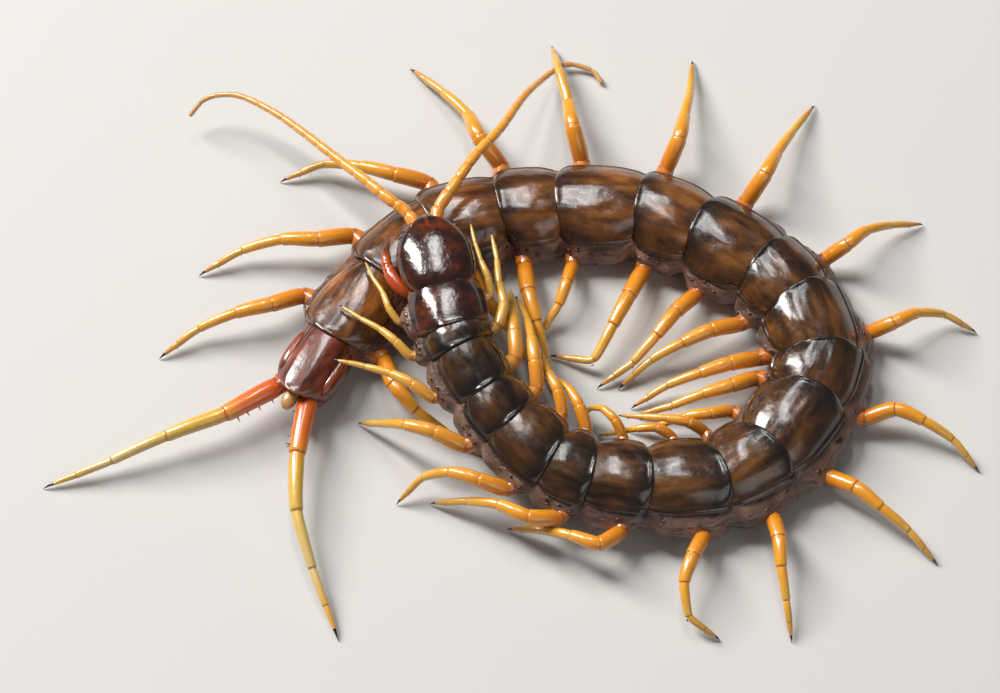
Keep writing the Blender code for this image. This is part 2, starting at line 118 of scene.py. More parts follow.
def dress(piece, material, replaced=()):
    """Gives a piece its finish, and makes it stand for the solids that it covers."""
    if material:
        piece.data.materials.clear()
        piece.data.materials.append(material)
    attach(piece, "root")
    if replaced:
        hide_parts(*replaced)
    return piece


def refine(piece, levels=1):
    finer = piece.modifiers.new("finer", "SUBSURF")
    finer.levels = levels
    finer.render_levels = levels
    return piece


# %% Helpers for tubes
def tube_faces(rings, sides):
    """The faces of a closed loft, with a fan at each end."""
    faces = []
    for ring in range(rings - 1):
        low = ring * sides
        for i in range(sides):
            j = (i + 1) % sides
            faces.append((low + i, low + j, low + sides + j, low + sides + i))
    first, last = rings * sides, rings * sides + 1
    top = (rings - 1) * sides
    for i in range(sides):
        j = (i + 1) % sides
        faces.append((j, i, first))
        faces.append((top + i, top + j, last))
    return faces


def with_caps(rings):
    """The rings' points in one list, with a middle point for each end."""
    points = [point for ring in rings for point in ring]
    for ring in (rings[0], rings[-1]):
        points.append(sum(ring, Vector()) / len(ring))
    return points


def tube_piece(name, rings, values, charts=None):
    """A closed tube. Its named numbers come one for each ring or one for each point, and the
    middle points of its two ends take the first and the last."""
    sides = len(rings[0])
    spread = {}
    for key, numbers in values.items():
        if len(numbers) == len(rings):
            numbers = [number for number in numbers for _ in range(sides)]
        spread[key] = [*numbers, numbers[0], numbers[-1]]
    if charts:
        charts = [*charts, charts[0], charts[-1]]
    return new_piece(name, with_caps(rings), tube_faces(len(rings), sides), spread, charts)


def between(start, end, share):
    return start + (end - start) * share


def bell(value, middle, width):
    return math.exp(-(((value - middle) / width) ** 2))


# %% [markdown]
# ## The body's path
# Each segment has a length, a width, a heading and the height of its ridge. A segment's plate is
# stiff, so the body bends only at the joints between segments, and neighbours meet on a plane
# halfway between their headings. `trunk_point` finds any place on a segment from how far along it
# is and how far to the left. All the later pieces are built on it, so they can't drift apart.

# %% The trunk's sizes and its path
HEAD_JOINT = Vector((-6.6, 2.2, 0.0))
FOOTPRINT_CENTRE = Vector((1.74, 1.29, 0.0))
# The trunk's thickness against its width
THICKNESS_RATIO = 0.63
TAIL_RIDGE = 6.6
SEGMENTS = (
    (4.5, 8.5, 283.0, 12.5),
    (2.6, 8.2, 291.0, 12.3),
    (5.6, 8.2, 300.0, 11.9),
    (4.7, 8.5, 309.0, 10.7),
    (6.3, 8.7, 318.0, 9.6),
    (4.8, 8.9, 340.0, 8.7),
    (6.7, 9.2, 353.0, 8.1),
    (8.5, 9.9, 5.0, 7.8),
    (6.7, 10.3, 30.0, 7.5),
    (8.6, 10.8, 54.0, 7.5),
    (5.8, 10.7, 74.0, 7.5),
    (7.5, 10.8, 109.0, 7.5),
    (6.1, 10.7, 130.0, 7.5),
    (8.8, 11.0, 147.0, 7.5),
    (7.6, 10.8, 158.0, 7.5),
    (9.6, 11.1, 177.5, 7.5),
    (7.1, 10.8, 184.5, 7.5),
    (8.4, 10.5, 196.0, 7.5),
    (9.1, 10.2, 224.0, 7.5),
    (9.6, 9.8, 236.0, 7.5),
    (8.5, 7.6, 240.0, 7.2),
)
# How far out the legs grow on each side, in half widths
FLANKS = {1: 1.10, -1: 1.02}
SIDES = {1: "left", -1: "right"}
LAST = len(SEGMENTS) - 1


def heading_vector(degrees):
    return Vector((math.cos(math.radians(degrees)), math.sin(math.radians(degrees)), 0.0))


def left_of(direction):
    return Vector((direction.y, -direction.x, 0.0))


JOINTS = [HEAD_JOINT - FOOTPRINT_CENTRE]
for length, _, heading, _ in SEGMENTS:
    JOINTS.append(JOINTS[-1] + heading_vector(heading) * length)
for joint, height in zip(JOINTS, [row[3] for row in SEGMENTS] + [TAIL_RIDGE]):
    joint.z = height
headings = [SEGMENTS[0][2]] + [row[2] for row in SEGMENTS] + [SEGMENTS[-1][2]]
NORMALS = [
    (heading_vector(a) + heading_vector(b)).normalized() for a, b in zip(headings, headings[1:])
]


def trunk_point(index, share, sideways, height):
    along = heading_vector(SEGMENTS[index][2])
    left = left_of(along)
    ends = []
    for joint, normal in ((JOINTS[index], NORMALS[index]), (JOINTS[index + 1], NORMALS[index + 1])):
        flat = Vector((joint.x, joint.y, 0.0))
        ends.append(flat + left * sideways - along * sideways * left.dot(normal) / along.dot(normal))
    place = between(ends[0], ends[1], share)
    return Vector((place.x, place.y, height))


def ridge_at(index, share):
    return between(JOINTS[index].z, JOINTS[index + 1].z, min(max(share, 0.0), 1.0))


print("body length along the ridge, mm:", round(sum(row[0] for row in SEGMENTS), 1))

# %% [markdown]
# ## Finishes
# The outer skin of a centipede is cuticle: layered chitin, tanned hard and dark on the back
# plates, thinner and see-through on the legs, and soft and leathery on the flanks. Chitin bends
# light about as much as horn (IOR 1.55). Its wax layer gives it the wet-looking gloss, which is
# made here with a coat. Every pattern is scaled from real millimetres: on plates and skin it reads
# the piece's own `chart`, millimetres across and along its surface, and elsewhere its place.

# %% A starting point for every cuticle
CHITIN_IOR = 1.55
# Red light goes deepest into the flesh, up to about half a millimetre
GLOW = {"Subsurface Radius": (1.0, 0.55, 0.2), "Subsurface Scale": 0.0006}
EVEN = (1.0, 1.0, 1.0)


def new_material(name):
    material = bpy.data.materials.new(name)
    material.use_nodes = True
    tree = material.node_tree
    return material, tree, tree.nodes["Principled BSDF"]


def cuticle(name, roughness, coat, soft=0.0, coat_roughness=0.1):
    """A material with a shader set for chitin, and the tree it belongs to."""
    material, tree, shader = new_material(name)
    gloss = {"Roughness": roughness, "Coat Weight": coat, "Coat Roughness": coat_roughness}
    set_sockets(shader, {"IOR": CHITIN_IOR, **gloss, "Subsurface Weight": soft, **GLOW})
    return material, tree, shader


# %% Patterns and layers of colour
def millimetres(tree):
    """Object coordinates turned to millimetres, for patterns that needn't follow the surface."""
    place = add_node(tree, "ShaderNodeTexCoord").outputs["Object"]
    settings = {"operation": "SCALE", "Scale": 1000.0}
    return add_node(tree, "ShaderNodeVectorMath", settings, {0: place})


def grain(tree, place, stretch, scale, detail=4.0, rough=0.55):
    """Cloudy noise read from millimetre coordinates, stretched by three factors."""
    place = add_node(tree, "ShaderNodeMapping", {"Scale": stretch}, {"Vector": place})
    settings = {"Scale": scale, "Detail": detail, "Roughness": rough}
    return add_node(tree, "ShaderNodeTexNoise", settings, {"Vector": place})


def lay_over(tree, body, mask, span, most, upper):
    """Lays a paint over the body: none where the mask, a node or a named number, is at the span's
    first value, and a share of `most` at its second. A paint is a hex value or a socket."""
    if isinstance(mask, str):
        mask = add_node(tree, "ShaderNodeAttribute", {"attribute_name": mask}).outputs["Fac"]
    settings = {"From Min": span[0], "From Max": span[1], "To Max": most}
    share = add_node(tree, "ShaderNodeMapRange", settings, {"Value": mask})
    settings, links = {"data_type": "RGBA"}, {0: share}
    for socket, paint in ((6, body), (7, upper)):
        if isinstance(paint, str):
            settings[socket] = linear(paint)
        else:
            links[socket] = paint
    return add_node(tree, "ShaderNodeMix", settings, links).outputs[2]


def surfaced(material, body, layers):
    """The material with its colour, and with stacked bump from (height, depth in mm) layers."""
    tree = material.node_tree
    shader = tree.nodes["Principled BSDF"]
    tree.links.new(body, shader.inputs["Base Color"])
    previous = {}
    for height, depth in layers:
        settings = {"Distance": depth * 0.001, "Strength": 1.0}
        bump = add_node(tree, "ShaderNodeBump", settings, {"Height": height, **previous})
        previous = {"Normal": bump}
    tree.links.new(bump.outputs["Normal"], shader.inputs["Normal"])
    return material


# %% [markdown]
# **Back plates** are tanned chitin, like dark polished horn. The tanning is uneven: olive and
# brown streaks run along each plate, its hind margin and corners are almost black, and its front
# edge, thin and untanned, is paler. The plates of the rear segments let more brown through. The
# gloss breaks up over very shallow dents a millimetre or so wide.


# %% Tanned chitin of the back plates
def plate_cuticle():
    material, tree, shader = cuticle("tanned_chitin_back_plates", 0.24, 0.5)
    chart = add_node(tree, "ShaderNodeAttribute", {"attribute_name": "chart"}).outputs["Vector"]
    streaks = {"Fac": grain(tree, chart, (1.0, 0.28, 1.0), 0.7)}
    clouds = grain(tree, chart, (0.6, 0.5, 1.0), 0.45, 2.0)
    stops = ((0.36, "#190C04"), (0.50, "#372009"), (0.66, "#573714"))
    dark = add_node(tree, "ShaderNodeValToRGB", {"stops": stops}, streaks)
    stops = ((0.34, "#401F0A"), (0.50, "#75431A"), (0.66, "#A0622A"))
    brown = add_node(tree, "ShaderNodeValToRGB", {"stops": stops}, streaks)
    body = lay_over(tree, dark, "tone", (0.0, 1.0), 1.0, brown)
    body = lay_over(tree, body, clouds, (0.48, 0.62), 0.5, "#1B110B")
    banded = lay_over(tree, body, "along", (0.60, 0.90), 0.85, "#0E0806")
    body = lay_over(tree, banded, "tone", (0.4, 1.0), 0.5, body)
    body = lay_over(tree, body, "across", (0.86, 1.0), 0.75, "#140A07")
    body = lay_over(tree, body, "along", (0.10, 0.0), 0.65, "#6B4A30")
    settings = {"From Min": 0.35, "From Max": 0.7, "To Min": 0.18, "To Max": 0.33}
    wear = {"Value": grain(tree, chart, EVEN, 1.4)}
    worn = add_node(tree, "ShaderNodeMapRange", settings, wear)
    tree.links.new(worn.outputs[0], shader.inputs["Roughness"])
    dents = grain(tree, chart, (1.0, 0.7, 1.0), 0.38, 1.0)
    scuffs = grain(tree, chart, (1.0, 0.8, 1.0), 1.6, 2.0)
    return surfaced(material, body, ((dents, 0.45), (scuffs, 0.03)))


def tail_cuticle():
    """Thinly tanned, so the red of the flesh shows: the tail's and the belly's plates."""
    material, tree, _ = cuticle("thin_chitin_tail", 0.26, 0.6, 0.08)
    chart = add_node(tree, "ShaderNodeAttribute", {"attribute_name": "chart"}).outputs["Vector"]
    streaks = {"Fac": grain(tree, chart, (1.0, 0.3, 1.0), 0.8)}
    stops = ((0.35, "#3A130A"), (0.52, "#642711"), (0.68, "#8A3C1E"))
    body = add_node(tree, "ShaderNodeValToRGB", {"stops": stops}, streaks)
    # Painted highlight: a paler band along the rear rim stands in for the bright edge that light
    # gives it
    body = lay_over(tree, body, "along", (0.93, 0.99), 0.6, "#8A5A44")
    return surfaced(material, body, ((grain(tree, chart, (1.0, 0.6, 1.0), 0.8, 3.0), 0.10),))


back_plate_finish = plate_cuticle()
tail_finish = tail_cuticle()
print("made", back_plate_finish.name, tail_finish.name)

# %% [markdown]
# **Flank skin** is leathery membrane with a dull wet shine: pinkish brown, wrinkled along the
# body, with dark flecks where small scraps of hard cuticle lie in it. It gives way to the touch,
# so a little light is let into it.


# %% Leathery membrane of the flanks
def membrane():
    material, tree, _ = cuticle("leathery_membrane", 0.36, 0.35, 0.12)
    chart = add_node(tree, "ShaderNodeAttribute", {"attribute_name": "chart"}).outputs["Vector"]
    clouds = {"Fac": grain(tree, chart, (1.0, 0.6, 1.0), 0.5)}
    stops = ((0.35, "#3C2A22"), (0.55, "#63493C"), (0.72, "#8A6C5B"))
    dull = add_node(tree, "ShaderNodeValToRGB", {"stops": stops}, clouds)
    stops = ((0.35, "#4E2E20"), (0.55, "#744733"), (0.72, "#926751"))
    warm = add_node(tree, "ShaderNodeValToRGB", {"stops": stops}, clouds)
    body = lay_over(tree, dull, "tone", (0.0, 1.0), 1.0, warm)
    flecks = grain(tree, chart, (1.6, 0.55, 1.0), 1.5, 3.0)
    body = lay_over(tree, body, flecks, (0.60, 0.66), 1.0, "#1E100C")
    body = lay_over(tree, body, "low", (0.0, 1.0), 0.5, "#9A5A30")
    folds = grain(tree, chart, (1.8, 0.5, 1.0), 1.2, 4.0)
    creases = grain(tree, chart, EVEN, 5.0, 3.0)
    return surfaced(material, body, ((folds, 0.35), (creases, 0.06)))


flank_finish = membrane()
print("made", flank_finish.name)

# %% [markdown]
# **Legs and feelers** have thin untanned cuticle over orange flesh. They are most red next to the
# body, yellow further out and palest in the foot, with a thin brown line at each joint, where the
# hard ring of one article ends. A number on each point, `reach`, runs from 0 at the body to 1 at
# the tip, and `joint` is 1 on the joint's own line.


# %% Thin orange cuticle
def limb_cuticle(name, stops, roughness=0.27, mottling=0.3):
    material, tree, _ = cuticle(name, roughness, 0.8, 0.15, 0.06)
    spot = millimetres(tree)
    reach = add_node(tree, "ShaderNodeAttribute", {"attribute_name": "reach"}).outputs["Fac"]
    body = add_node(tree, "ShaderNodeValToRGB", {"stops": stops}, {"Fac": reach})
    mottle = grain(tree, spot, EVEN, 0.9)
    body = lay_over(tree, body, mottle, (0.35, 0.70), mottling, "#C46E14")
    body = lay_over(tree, body, "pale", (0.0, 1.0), 1.0, "#CDAE55")
    body = lay_over(tree, body, "joint", (0.35, 1.0), 0.75, "#7A3510")
    return surfaced(material, body, ((grain(tree, spot, EVEN, 4.0), 0.03),))


leg_finish = limb_cuticle(
    "thin_chitin_legs",
    (
        (0.00, "#7A4226"),
        (0.05, "#C06A18"),
        (0.24, "#D98A1B"),
        (0.55, "#DE9C2A"),
        (0.78, "#D8A844"),
        (1.00, "#B88436"),
    ),
)
last_leg_finish = limb_cuticle(
    "thin_chitin_last_legs",
    (
        (0.00, "#BE4A16"),
        (0.20, "#D2641A"),
        (0.27, "#D98A26"),
        (0.33, "#CFA43A"),
        (0.52, "#CBAC54"),
        (0.76, "#CDB478"),
        (0.95, "#D2A044"),
    ),
    mottling=0.12,
)
feeler_finish = limb_cuticle(
    "thin_chitin_feelers",
    ((0.00, "#E08E24"), (0.30, "#E8A233"), (0.55, "#E09A36"), (0.80, "#CE9444"), (1.00, "#C4A066")),
    0.3,
)
print("made", leg_finish.name, last_leg_finish.name, feeler_finish.name)

# %% [markdown]
# **The head** is the most thickly tanned plate, very dark red-brown with brighter red patches where
# the jaw muscles sit close under it. **Venom claws** are orange-red, shading to black at the
# fangs. **Claws, spurs and eyes** are black chitin, the hardest and glossiest of all.


# %% Head, venom claw and black chitin
def head_cuticle():
    material, tree, _ = cuticle("polished_chitin_head", 0.17, 0.65)
    spot = millimetres(tree)
    patches = grain(tree, spot, (1.0, 1.0, 0.4), 0.42, 5.0, 0.6)
    stops = ((0.40, "#1C0B05"), (0.54, "#37160A"), (0.68, "#602610"))
    body = add_node(tree, "ShaderNodeValToRGB", {"stops": stops}, {"Fac": patches})
    body = lay_over(tree, body, "seam", (0.2, 1.0), 0.8, "#7E2C18")
    body = lay_over(tree, body, "rim", (0.3, 1.0), 0.7, "#8A3A1C")
    dents = grain(tree, spot, EVEN, 0.7, 3.0)
    pores = grain(tree, spot, EVEN, 6.0, 2.0)
    return surfaced(material, body, ((dents, 0.10), (pores, 0.01)))


def black_chitin(name, colour, roughness):
    material, tree, _ = cuticle(name, roughness, 0.6)
    spot = millimetres(tree)
    clouds = grain(tree, spot, EVEN, 1.5)
    body = lay_over(tree, colour, clouds, (0.0, 1.0), 1.0, "#3A1A0C")
    return surfaced(material, body, ((grain(tree, spot, EVEN, 5.0), 0.01),))


head_finish = head_cuticle()
venom_claw_finish = limb_cuticle(
    "tanned_chitin_venom_claws",
    ((0.00, "#8A2C10"), (0.30, "#A63614"), (0.66, "#AC4016"), (0.78, "#5A1A0C"), (0.86, "#120605")),
    0.2,
)
claw_finish = black_chitin("black_chitin_claws", "#160B07", 0.25)
eye_finish = black_chitin("glossy_black_eyes", "#050404", 0.06)
print("made", head_finish.name, venom_claw_finish.name, claw_finish.name, eye_finish.name)

# %% [markdown]
# ## The legs' poses
# Where a leg grows decides where the flank swells, so the poses come first. A leg's own pose is a
# row of numbers: how far along its segment it grows, its size, the bend of its four long sections
# seen from above, 90 being straight ahead and 0 straight out, and the heights of their far ends.

# %% Twenty pairs of poses
STANDING = None
LEFT_LEGS = (
    (0.42, 0.60, (64, 86, 73, 81), (9.4, 9.3, 8.9, 8.4)),
    (0.50, 0.69, (64, 64, 54, 59), (9.2, 9.0, 8.7, 8.3)),
    (0.60, 0.80, (62, 60, 48, 45), (8.5, 8.3, 8.1, 7.9)),
    (0.72, 1.04, (60, 56, 70, 67), STANDING),
    (0.72, 1.00, (60, 68, 57, 13), STANDING),
    (0.70, 1.08, (62, 100, 90, 81), STANDING),
    (0.66, 1.00, (42, 107, 107, 99), STANDING),
    (0.66, 0.98, (30, 25, -3, -57), STANDING),
    (0.51, 0.98, (20, 28, 21, 22), STANDING),
    (0.32, 1.06, (-5, 5, 0, 11), STANDING),
    (0.12, 1.02, (-30, 9, 11, 32), STANDING),
    (0.34, 0.96, (16, -12, 7, 41), (4.8, 4.1, 2.2, 0.35)),
    (0.47, 0.97, (25, -6, 12, 26), (5.0, 4.1, 2.2, 0.35)),
    (0.74, 1.20, (13, -11, -5, 0), (5.6, 4.0, 2.1, 0.35)),
    (0.84, 1.19, (9, -12, -11, -17), (5.6, 4.1, 2.2, 0.35)),
    (0.77, 1.26, (-23, -8, -16, -11), (5.6, 3.9, 3.7, 0.35)),
    (0.88, 1.28, (-45, -11, -34, -39), (5.4, 3.6, 2.2, 0.35)),
    (0.75, 1.20, (-68, -56, -60, -90), STANDING),
    (0.78, 1.24, (-64, -42, -55, -71), STANDING),
    (0.70, 1.21, (-62, -46, -51, -67), STANDING),
)
RIGHT_LEGS = (
    (0.26, 0.64, (90, 100, 92, 88), (9.8, 9.9, 9.7, 9.4)),
    (0.44, 0.80, (56, 84, 72, 80), (8.3, 8.1, 7.9, 7.9)),
    (0.71, 0.95, (64, 65, 60, 62), (7.6, 6.6, 3.6, 0.35)),
    (0.72, 0.90, (58, 58, 60, 70), (7.3, 7.1, 5.4, 3.8)),
    (0.62, 0.76, (56, 68, 60, 55), (6.2, 6.0, 5.0, 4.2)),
    (0.52, 0.78, (41, 47, 62, 72), (5.6, 5.3, 3.6, 1.6)),
    (0.53, 0.63, (40, 48, 65, 138), STANDING),
    (0.50, 0.64, (66, 86, 72, 80), (4.2, 3.8, 2.0, 0.35)),
    (0.22, 0.72, (50, 50, 48, 42), (4.5, 4.6, 3.7, 2.0)),
    (0.23, 0.80, (56, 38, 46, 40), (3.6, 3.2, 1.8, 0.35)),
    (0.22, 0.98, (46, 31, 31, 22), STANDING),
    (0.20, 1.04, (2, -1, -5, 8), STANDING),
    (0.39, 1.06, (-19, -15, -17, -2), STANDING),
    (0.59, 1.07, (-8, -4, -10, -27), STANDING),
    (0.70, 1.21, (-2, -5, -6, -86), STANDING),
    (0.86, 0.85, (-11, -16, -34, -21), (3.7, 3.0, 1.4, 0.35)),
    (0.76, 1.14, (0, 10, 10, 12), STANDING),
    (0.80, 0.98, (2, 25, 23, 17), (3.9, 3.3, 1.5, 0.35)),
    (0.62, 0.89, (-44, 5, -12, -18), (4.0, 3.4, 1.6, 0.35)),
    (0.88, 1.15, (-40, -16, 4, 5), (4.0, 3.2, 1.4, 0.35)),
)
print("leg poses:", len(LEFT_LEGS) + len(RIGHT_LEGS))

# %% [markdown]
# ## Soft flanks and belly
# Between the back plates and the legs the trunk is a soft tube, pinched at each joint and swollen
# over each hip. One long loft makes it: a closed section, drawn as a few marks in half widths and
# in parts of the thickness, is carried along the path, and each point is then pushed in or out by
# the pinch, the swelling and wrinkles of a real size. One skin for the whole trunk avoids seams.

# %% A section of the flank skin
# Half of it, from the middle of the back to the belly: half widths, and parts of the thickness
SKIN_HALF = (
    (0.00, 0.86),
    (0.30, 0.85),
    (0.58, 0.78),
    (0.80, 0.66),
    (0.90, 0.57),
    (0.95, 0.51),
    (0.99, 0.45),
    (1.03, 0.39),
    (1.055, 0.33),
    (1.06, 0.27),
    (1.05, 0.20),
    (1.02, 0.14),
    (0.97, 0.08),
    (0.88, 0.04),
    (0.66, 0.01),
    (0.34, 0.00),
)
SKIN_ROWS = 24
# The share of a segment over which its width runs into its neighbour's
WIDTH_BLEND = 0.15
HIP_SHARES = {1: [row[0] for row in LEFT_LEGS], -1: [row[0] for row in RIGHT_LEGS]}


# Where the front of the body, lifted over the tail, gives way to the rear, in millimetres
REAR_START, REAR_SPAN = 58.0, 30.0
# The greatest half width in SKIN_HALF
SKIN_WIDEST = 1.06


def skin_reach(travel, sign):
    """How far the skin stands out at most, in half widths: more on the loop's outer side."""
    rear = min(max((travel - REAR_START) / REAR_SPAN, 0.0), 1.0)
    if sign == -1:
        return between(1.06, 1.15, rear)
    return between(1.25, 1.11, rear) + 0.09 * bell(travel, 44.0, 16.0)


def skin_ring(index, share):
    """One section of the skin, its chart in millimetres and how near each point is to a hip."""
    width = SEGMENTS[index][1]
    gap = min(share, 1.0 - share)
    neighbour = index - 1 if share < 0.5 else index + 1
    if gap < WIDTH_BLEND and 0 <= neighbour <= LAST:
        width = between((width + SEGMENTS[neighbour][1]) / 2, width, gap / WIDTH_BLEND)
    full = width * THICKNESS_RATIO
    belly = ridge_at(index, share) - full
    pinch = 1.0 - 0.15 * bell(gap, 0.0, 0.12)
    travel = sum(row[0] for row in SEGMENTS[:index]) + share * SEGMENTS[index][0]
    ring, charts, lows = [], [], []
    for sign in (1, -1):
        half = SKIN_HALF if sign == 1 else tuple(reversed(SKIN_HALF[1:]))
        for y, z in half:
            low = bell(z, 0.27, 0.17) if y > 0.9 else 0.0
            hip = 0.0
            if index < LAST:
                hip = low * bell(share, HIP_SHARES[sign][index], 0.17)
            out = y
            if y > 0.9:
                wave = noise.noise(Vector((travel * 0.45, z * 8.0, sign * 3.0 + 7.0)))
                fold = 1.0 - 2.0 * abs(wave)
                lump = noise.noise(Vector((travel * 0.25, z * 4.0, sign * 5.0)))
                out = y * pinch * skin_reach(travel, sign) / SKIN_WIDEST
                out += 0.06 * (fold - 0.6) + 0.07 * lump + 0.12 * hip
            if index == LAST:
                out *= between(1.0, 0.84, min(1.0, share * 4.0))
                z *= 1.07 if z > 0.6 else 1.0
            sag = 0.45 * bell(gap, 0.0, 0.08) if z > 0.6 else 0.0
            ring.append(trunk_point(index, share, sign * out * width / 2, belly + full * z - sag))
            charts.append((z * full + sign * 20.0, travel, y * width / 2))
            lows.append(hip)
    return ring, charts, lows


# %% The flank skin
skin_rings, skin_charts, skin_lows, skin_tones = [], [], [], []
for index in range(len(SEGMENTS)):
    for row in range(SKIN_ROWS + (index == LAST)):
        ring, charts, lows = skin_ring(index, row / SKIN_ROWS)
        skin_rings.append(ring)
        skin_charts.extend(charts)
        skin_lows.extend(lows)
        skin_tones.append(max(0.0, (index - 12) / 8))
numbers = {"low": skin_lows, "tone": skin_tones}
flank_skin = tube_piece("flank_skin", skin_rings, numbers, skin_charts)
refine(flank_skin)
dress(flank_skin, flank_finish, [f"trunk_{n}" for n in range(1, 8)])
print("flank skin faces:", len(flank_skin.data.polygons))

# %% [markdown]
# ## Back plates
# Each back plate is a thin stiff shell, arched across, with rounded corners and a fine raised rim
# along its sides. Its hind margin stands a little proud and lies over the front of the next
# plate, like a roof tile. A shell can be made with Solidify, but here its rim has its own
# swelling, so a function builds the top, the underside and a rounded edge between them.


# %% A shell from a grid of points
def shell(name, rows, thickness, swell, values, charts):
    """A closed plate: the given top surface, an underside below it and a rounded edge."""
    high, wide = len(rows), len(rows[0])
    top = [point for row in rows for point in row]
    count = len(top)
    border = [(0, j) for j in range(wide)]
    border += [(i, wide - 1) for i in range(1, high)]
    border += [(high - 1, j) for j in range(wide - 2, -1, -1)]
    border += [(i, 0) for i in range(high - 2, 0, -1)]
    drop = Vector((0.0, 0.0, thickness))
    points = top + [point - drop for point in top]
    for i, j in border:
        inner = rows[min(max(i, 1), high - 2)][min(max(j, 1), wide - 2)]
        outward = rows[i][j] - inner
        outward.z = 0.0
        points.append(rows[i][j] + outward.normalized() * swell - drop / 2)
    faces = []
    for i in range(high - 1):
        for j in range(wide - 1):
            a = i * wide + j
            faces.append((a, a + 1, a + wide + 1, a + wide))
            faces.append((count + a, count + a + wide, count + a + wide + 1, count + a + 1))
    for k in range(len(border)):
        n = (k + 1) % len(border)
        a = border[k][0] * wide + border[k][1]
        b = border[n][0] * wide + border[n][1]
        edge_a, edge_b = 2 * count + k, 2 * count + n
        faces.append((a, b, edge_b, edge_a))
        faces.append((edge_a, edge_b, count + b, count + a))
    extra = [i * wide + j for i, j in border]
    grown = {}
    for key, numbers in values.items():
        grown[key] = numbers + numbers + [numbers[k] for k in extra]
    all_charts = charts + charts + [charts[k] for k in extra]
    return new_piece(name, points, faces, grown, all_charts)


# %% The back plates' sizes
PLATE_ROWS, PLATE_COLUMNS = 22, 31
PLATE_THICKNESS = 0.26
HIND_OVERLAP = 0.55
PLATE_EDGE = 0.09
# How far round its arch a plate reaches, for points that lie closer near its edges
ARCH_TURN = math.pi / 2 * 0.94
# How brown each plate is, from the dark front of the body to its tail
TONES = (0.0, 0.0, 0.0, 0.02, 0.04, 0.06, 0.1, 0.12, 0.14, 0.16, 0.2)
TONES += (0.24, 0.3, 0.38, 0.46, 0.54, 0.62, 0.72, 0.8, 0.88, 1.0)
# How much of its segment's width a plate covers, where it isn't 0.96
COVERS = {0: 1.04, 1: 0.97, 2: 0.92, 3: 0.96, 4: 1.02, 5: 1.03, 6: 0.98, LAST: 0.82}
# How far its front corners are cut in, over what share of its length, and its hind corners
ROUNDINGS = {
    0: (0.0, 0.35, 0.22),
    1: (0.20, 0.45, 0.28),
    3: (0.20, 0.45, 0.28),
    5: (0.20, 0.45, 0.28),
    LAST - 1: (0.36, 0.7, 0.20),
    LAST: (0.0, 0.35, 0.34),
}


# %% A back plate's outline and arch
# Where along itself a plate is widest, and by how much of its half width
WIDEST_SHARE, WIDEST = 0.58, 1.03


def plate_outline(share, front, reach, hind):
    """Half the plate's width along it: its sides bow outwards and its corners are rounded."""
    if share < WIDEST_SHARE:
        width = WIDEST - 0.09 * ((WIDEST_SHARE - share) / WIDEST_SHARE) ** 2
    else:
        width = WIDEST - 0.05 * ((share - WIDEST_SHARE) / (1.0 - WIDEST_SHARE)) ** 2
    if share < reach:
        width -= front * (1.0 - share / reach) ** 1.8
    if share > 0.8:
        width -= hind * ((share - 0.8) / 0.2) ** 3.0
    return width


def plate_height(across, share, rim):
    """Height over the belly in parts of the thickness, over the arch and along the plate."""
    arch = 1.0 - 0.40 * abs(across) ** 3.0
    crown = math.sin(min(1.0, share / 0.55) * math.pi / 2)
    rise = 0.950 + 0.082 * crown - 0.022 * max(0.0, (share - 0.55) / 0.45) ** 2
    lip = 0.020 * bell(share, 0.985, 0.03)
    border = rim * (bell(abs(across), 0.985, 0.022) - 0.55 * bell(abs(across), 0.925, 0.028))
    return arch * (rise + lip) + border


# %% Making the back plates
def back_plate(index):
    length, width, _, _ = SEGMENTS[index]
    full = width * THICKNESS_RATIO
    front, reach, hind = ROUNDINGS.get(index, (0.13, 0.35, 0.22))
    cover = COVERS.get(index, 0.96)
    bulge = 0.14 if index >= LAST - 1 else 0.05
    rim = 0.008 + 0.022 * min(1.0, index / 10)
    rows, values, charts = [], {"along": [], "across": [], "tone": []}, []
    for i in range(PLATE_ROWS):
        even = i / (PLATE_ROWS - 1)
        part = between(even, 0.5 - 0.5 * math.cos(math.pi * even), 0.6)
        share = between(-0.16 if index == 0 else -0.02, 1.0 + HIND_OVERLAP / length, part)
        row = []
        for j in range(PLATE_COLUMNS):
            across = 1.0 - 2.0 * j / (PLATE_COLUMNS - 1)
            across = math.sin(across * ARCH_TURN) / math.sin(ARCH_TURN)
            bow = bulge * (1.0 - across**2) * (part - 0.3)
            half = width / 2 * cover * plate_outline(part, front, reach, hind)
            uneven = noise.noise(Vector((across * 1.6, part * length * 0.22, index * 4.1))) * 0.006
            belly = ridge_at(index, share) - full
            lift = full * (plate_height(across, part, rim) + uneven)
            row.append(trunk_point(index, share + bow, across * half, belly + lift))
            values["along"].append(part)
            values["across"].append(abs(across))
            values["tone"].append(TONES[index])
            charts.append((across * half, part * length, index * 13.0))
        rows.append(row)
    name = f"back_plate_{index + 1:02d}"
    plate = shell(name, rows, PLATE_THICKNESS, PLATE_EDGE, values, charts)
    refine(plate)
    finish = head_finish if index == 0 else tail_finish if index == LAST else back_plate_finish
    return dress(plate, finish)


back_plates = [back_plate(index) for index in range(len(SEGMENTS))]
print("back plates:", len(back_plates))

# %% [markdown]
# ## Belly plates
# Underneath, each segment has one flatter plate with rounded corners and two fine grooves along
# it. They are paler than the back, and lie just proud of the soft skin.

# %% The belly plates
BELLY_ROWS, BELLY_COLUMNS = 12, 15
BELLY_THICKNESS, BELLY_EDGE = 0.22, 0.06
BELLY_COVER = 0.62
# How far along a plate its finish is read where it has no painted highlight on its rear rim
RIMLESS = 0.3


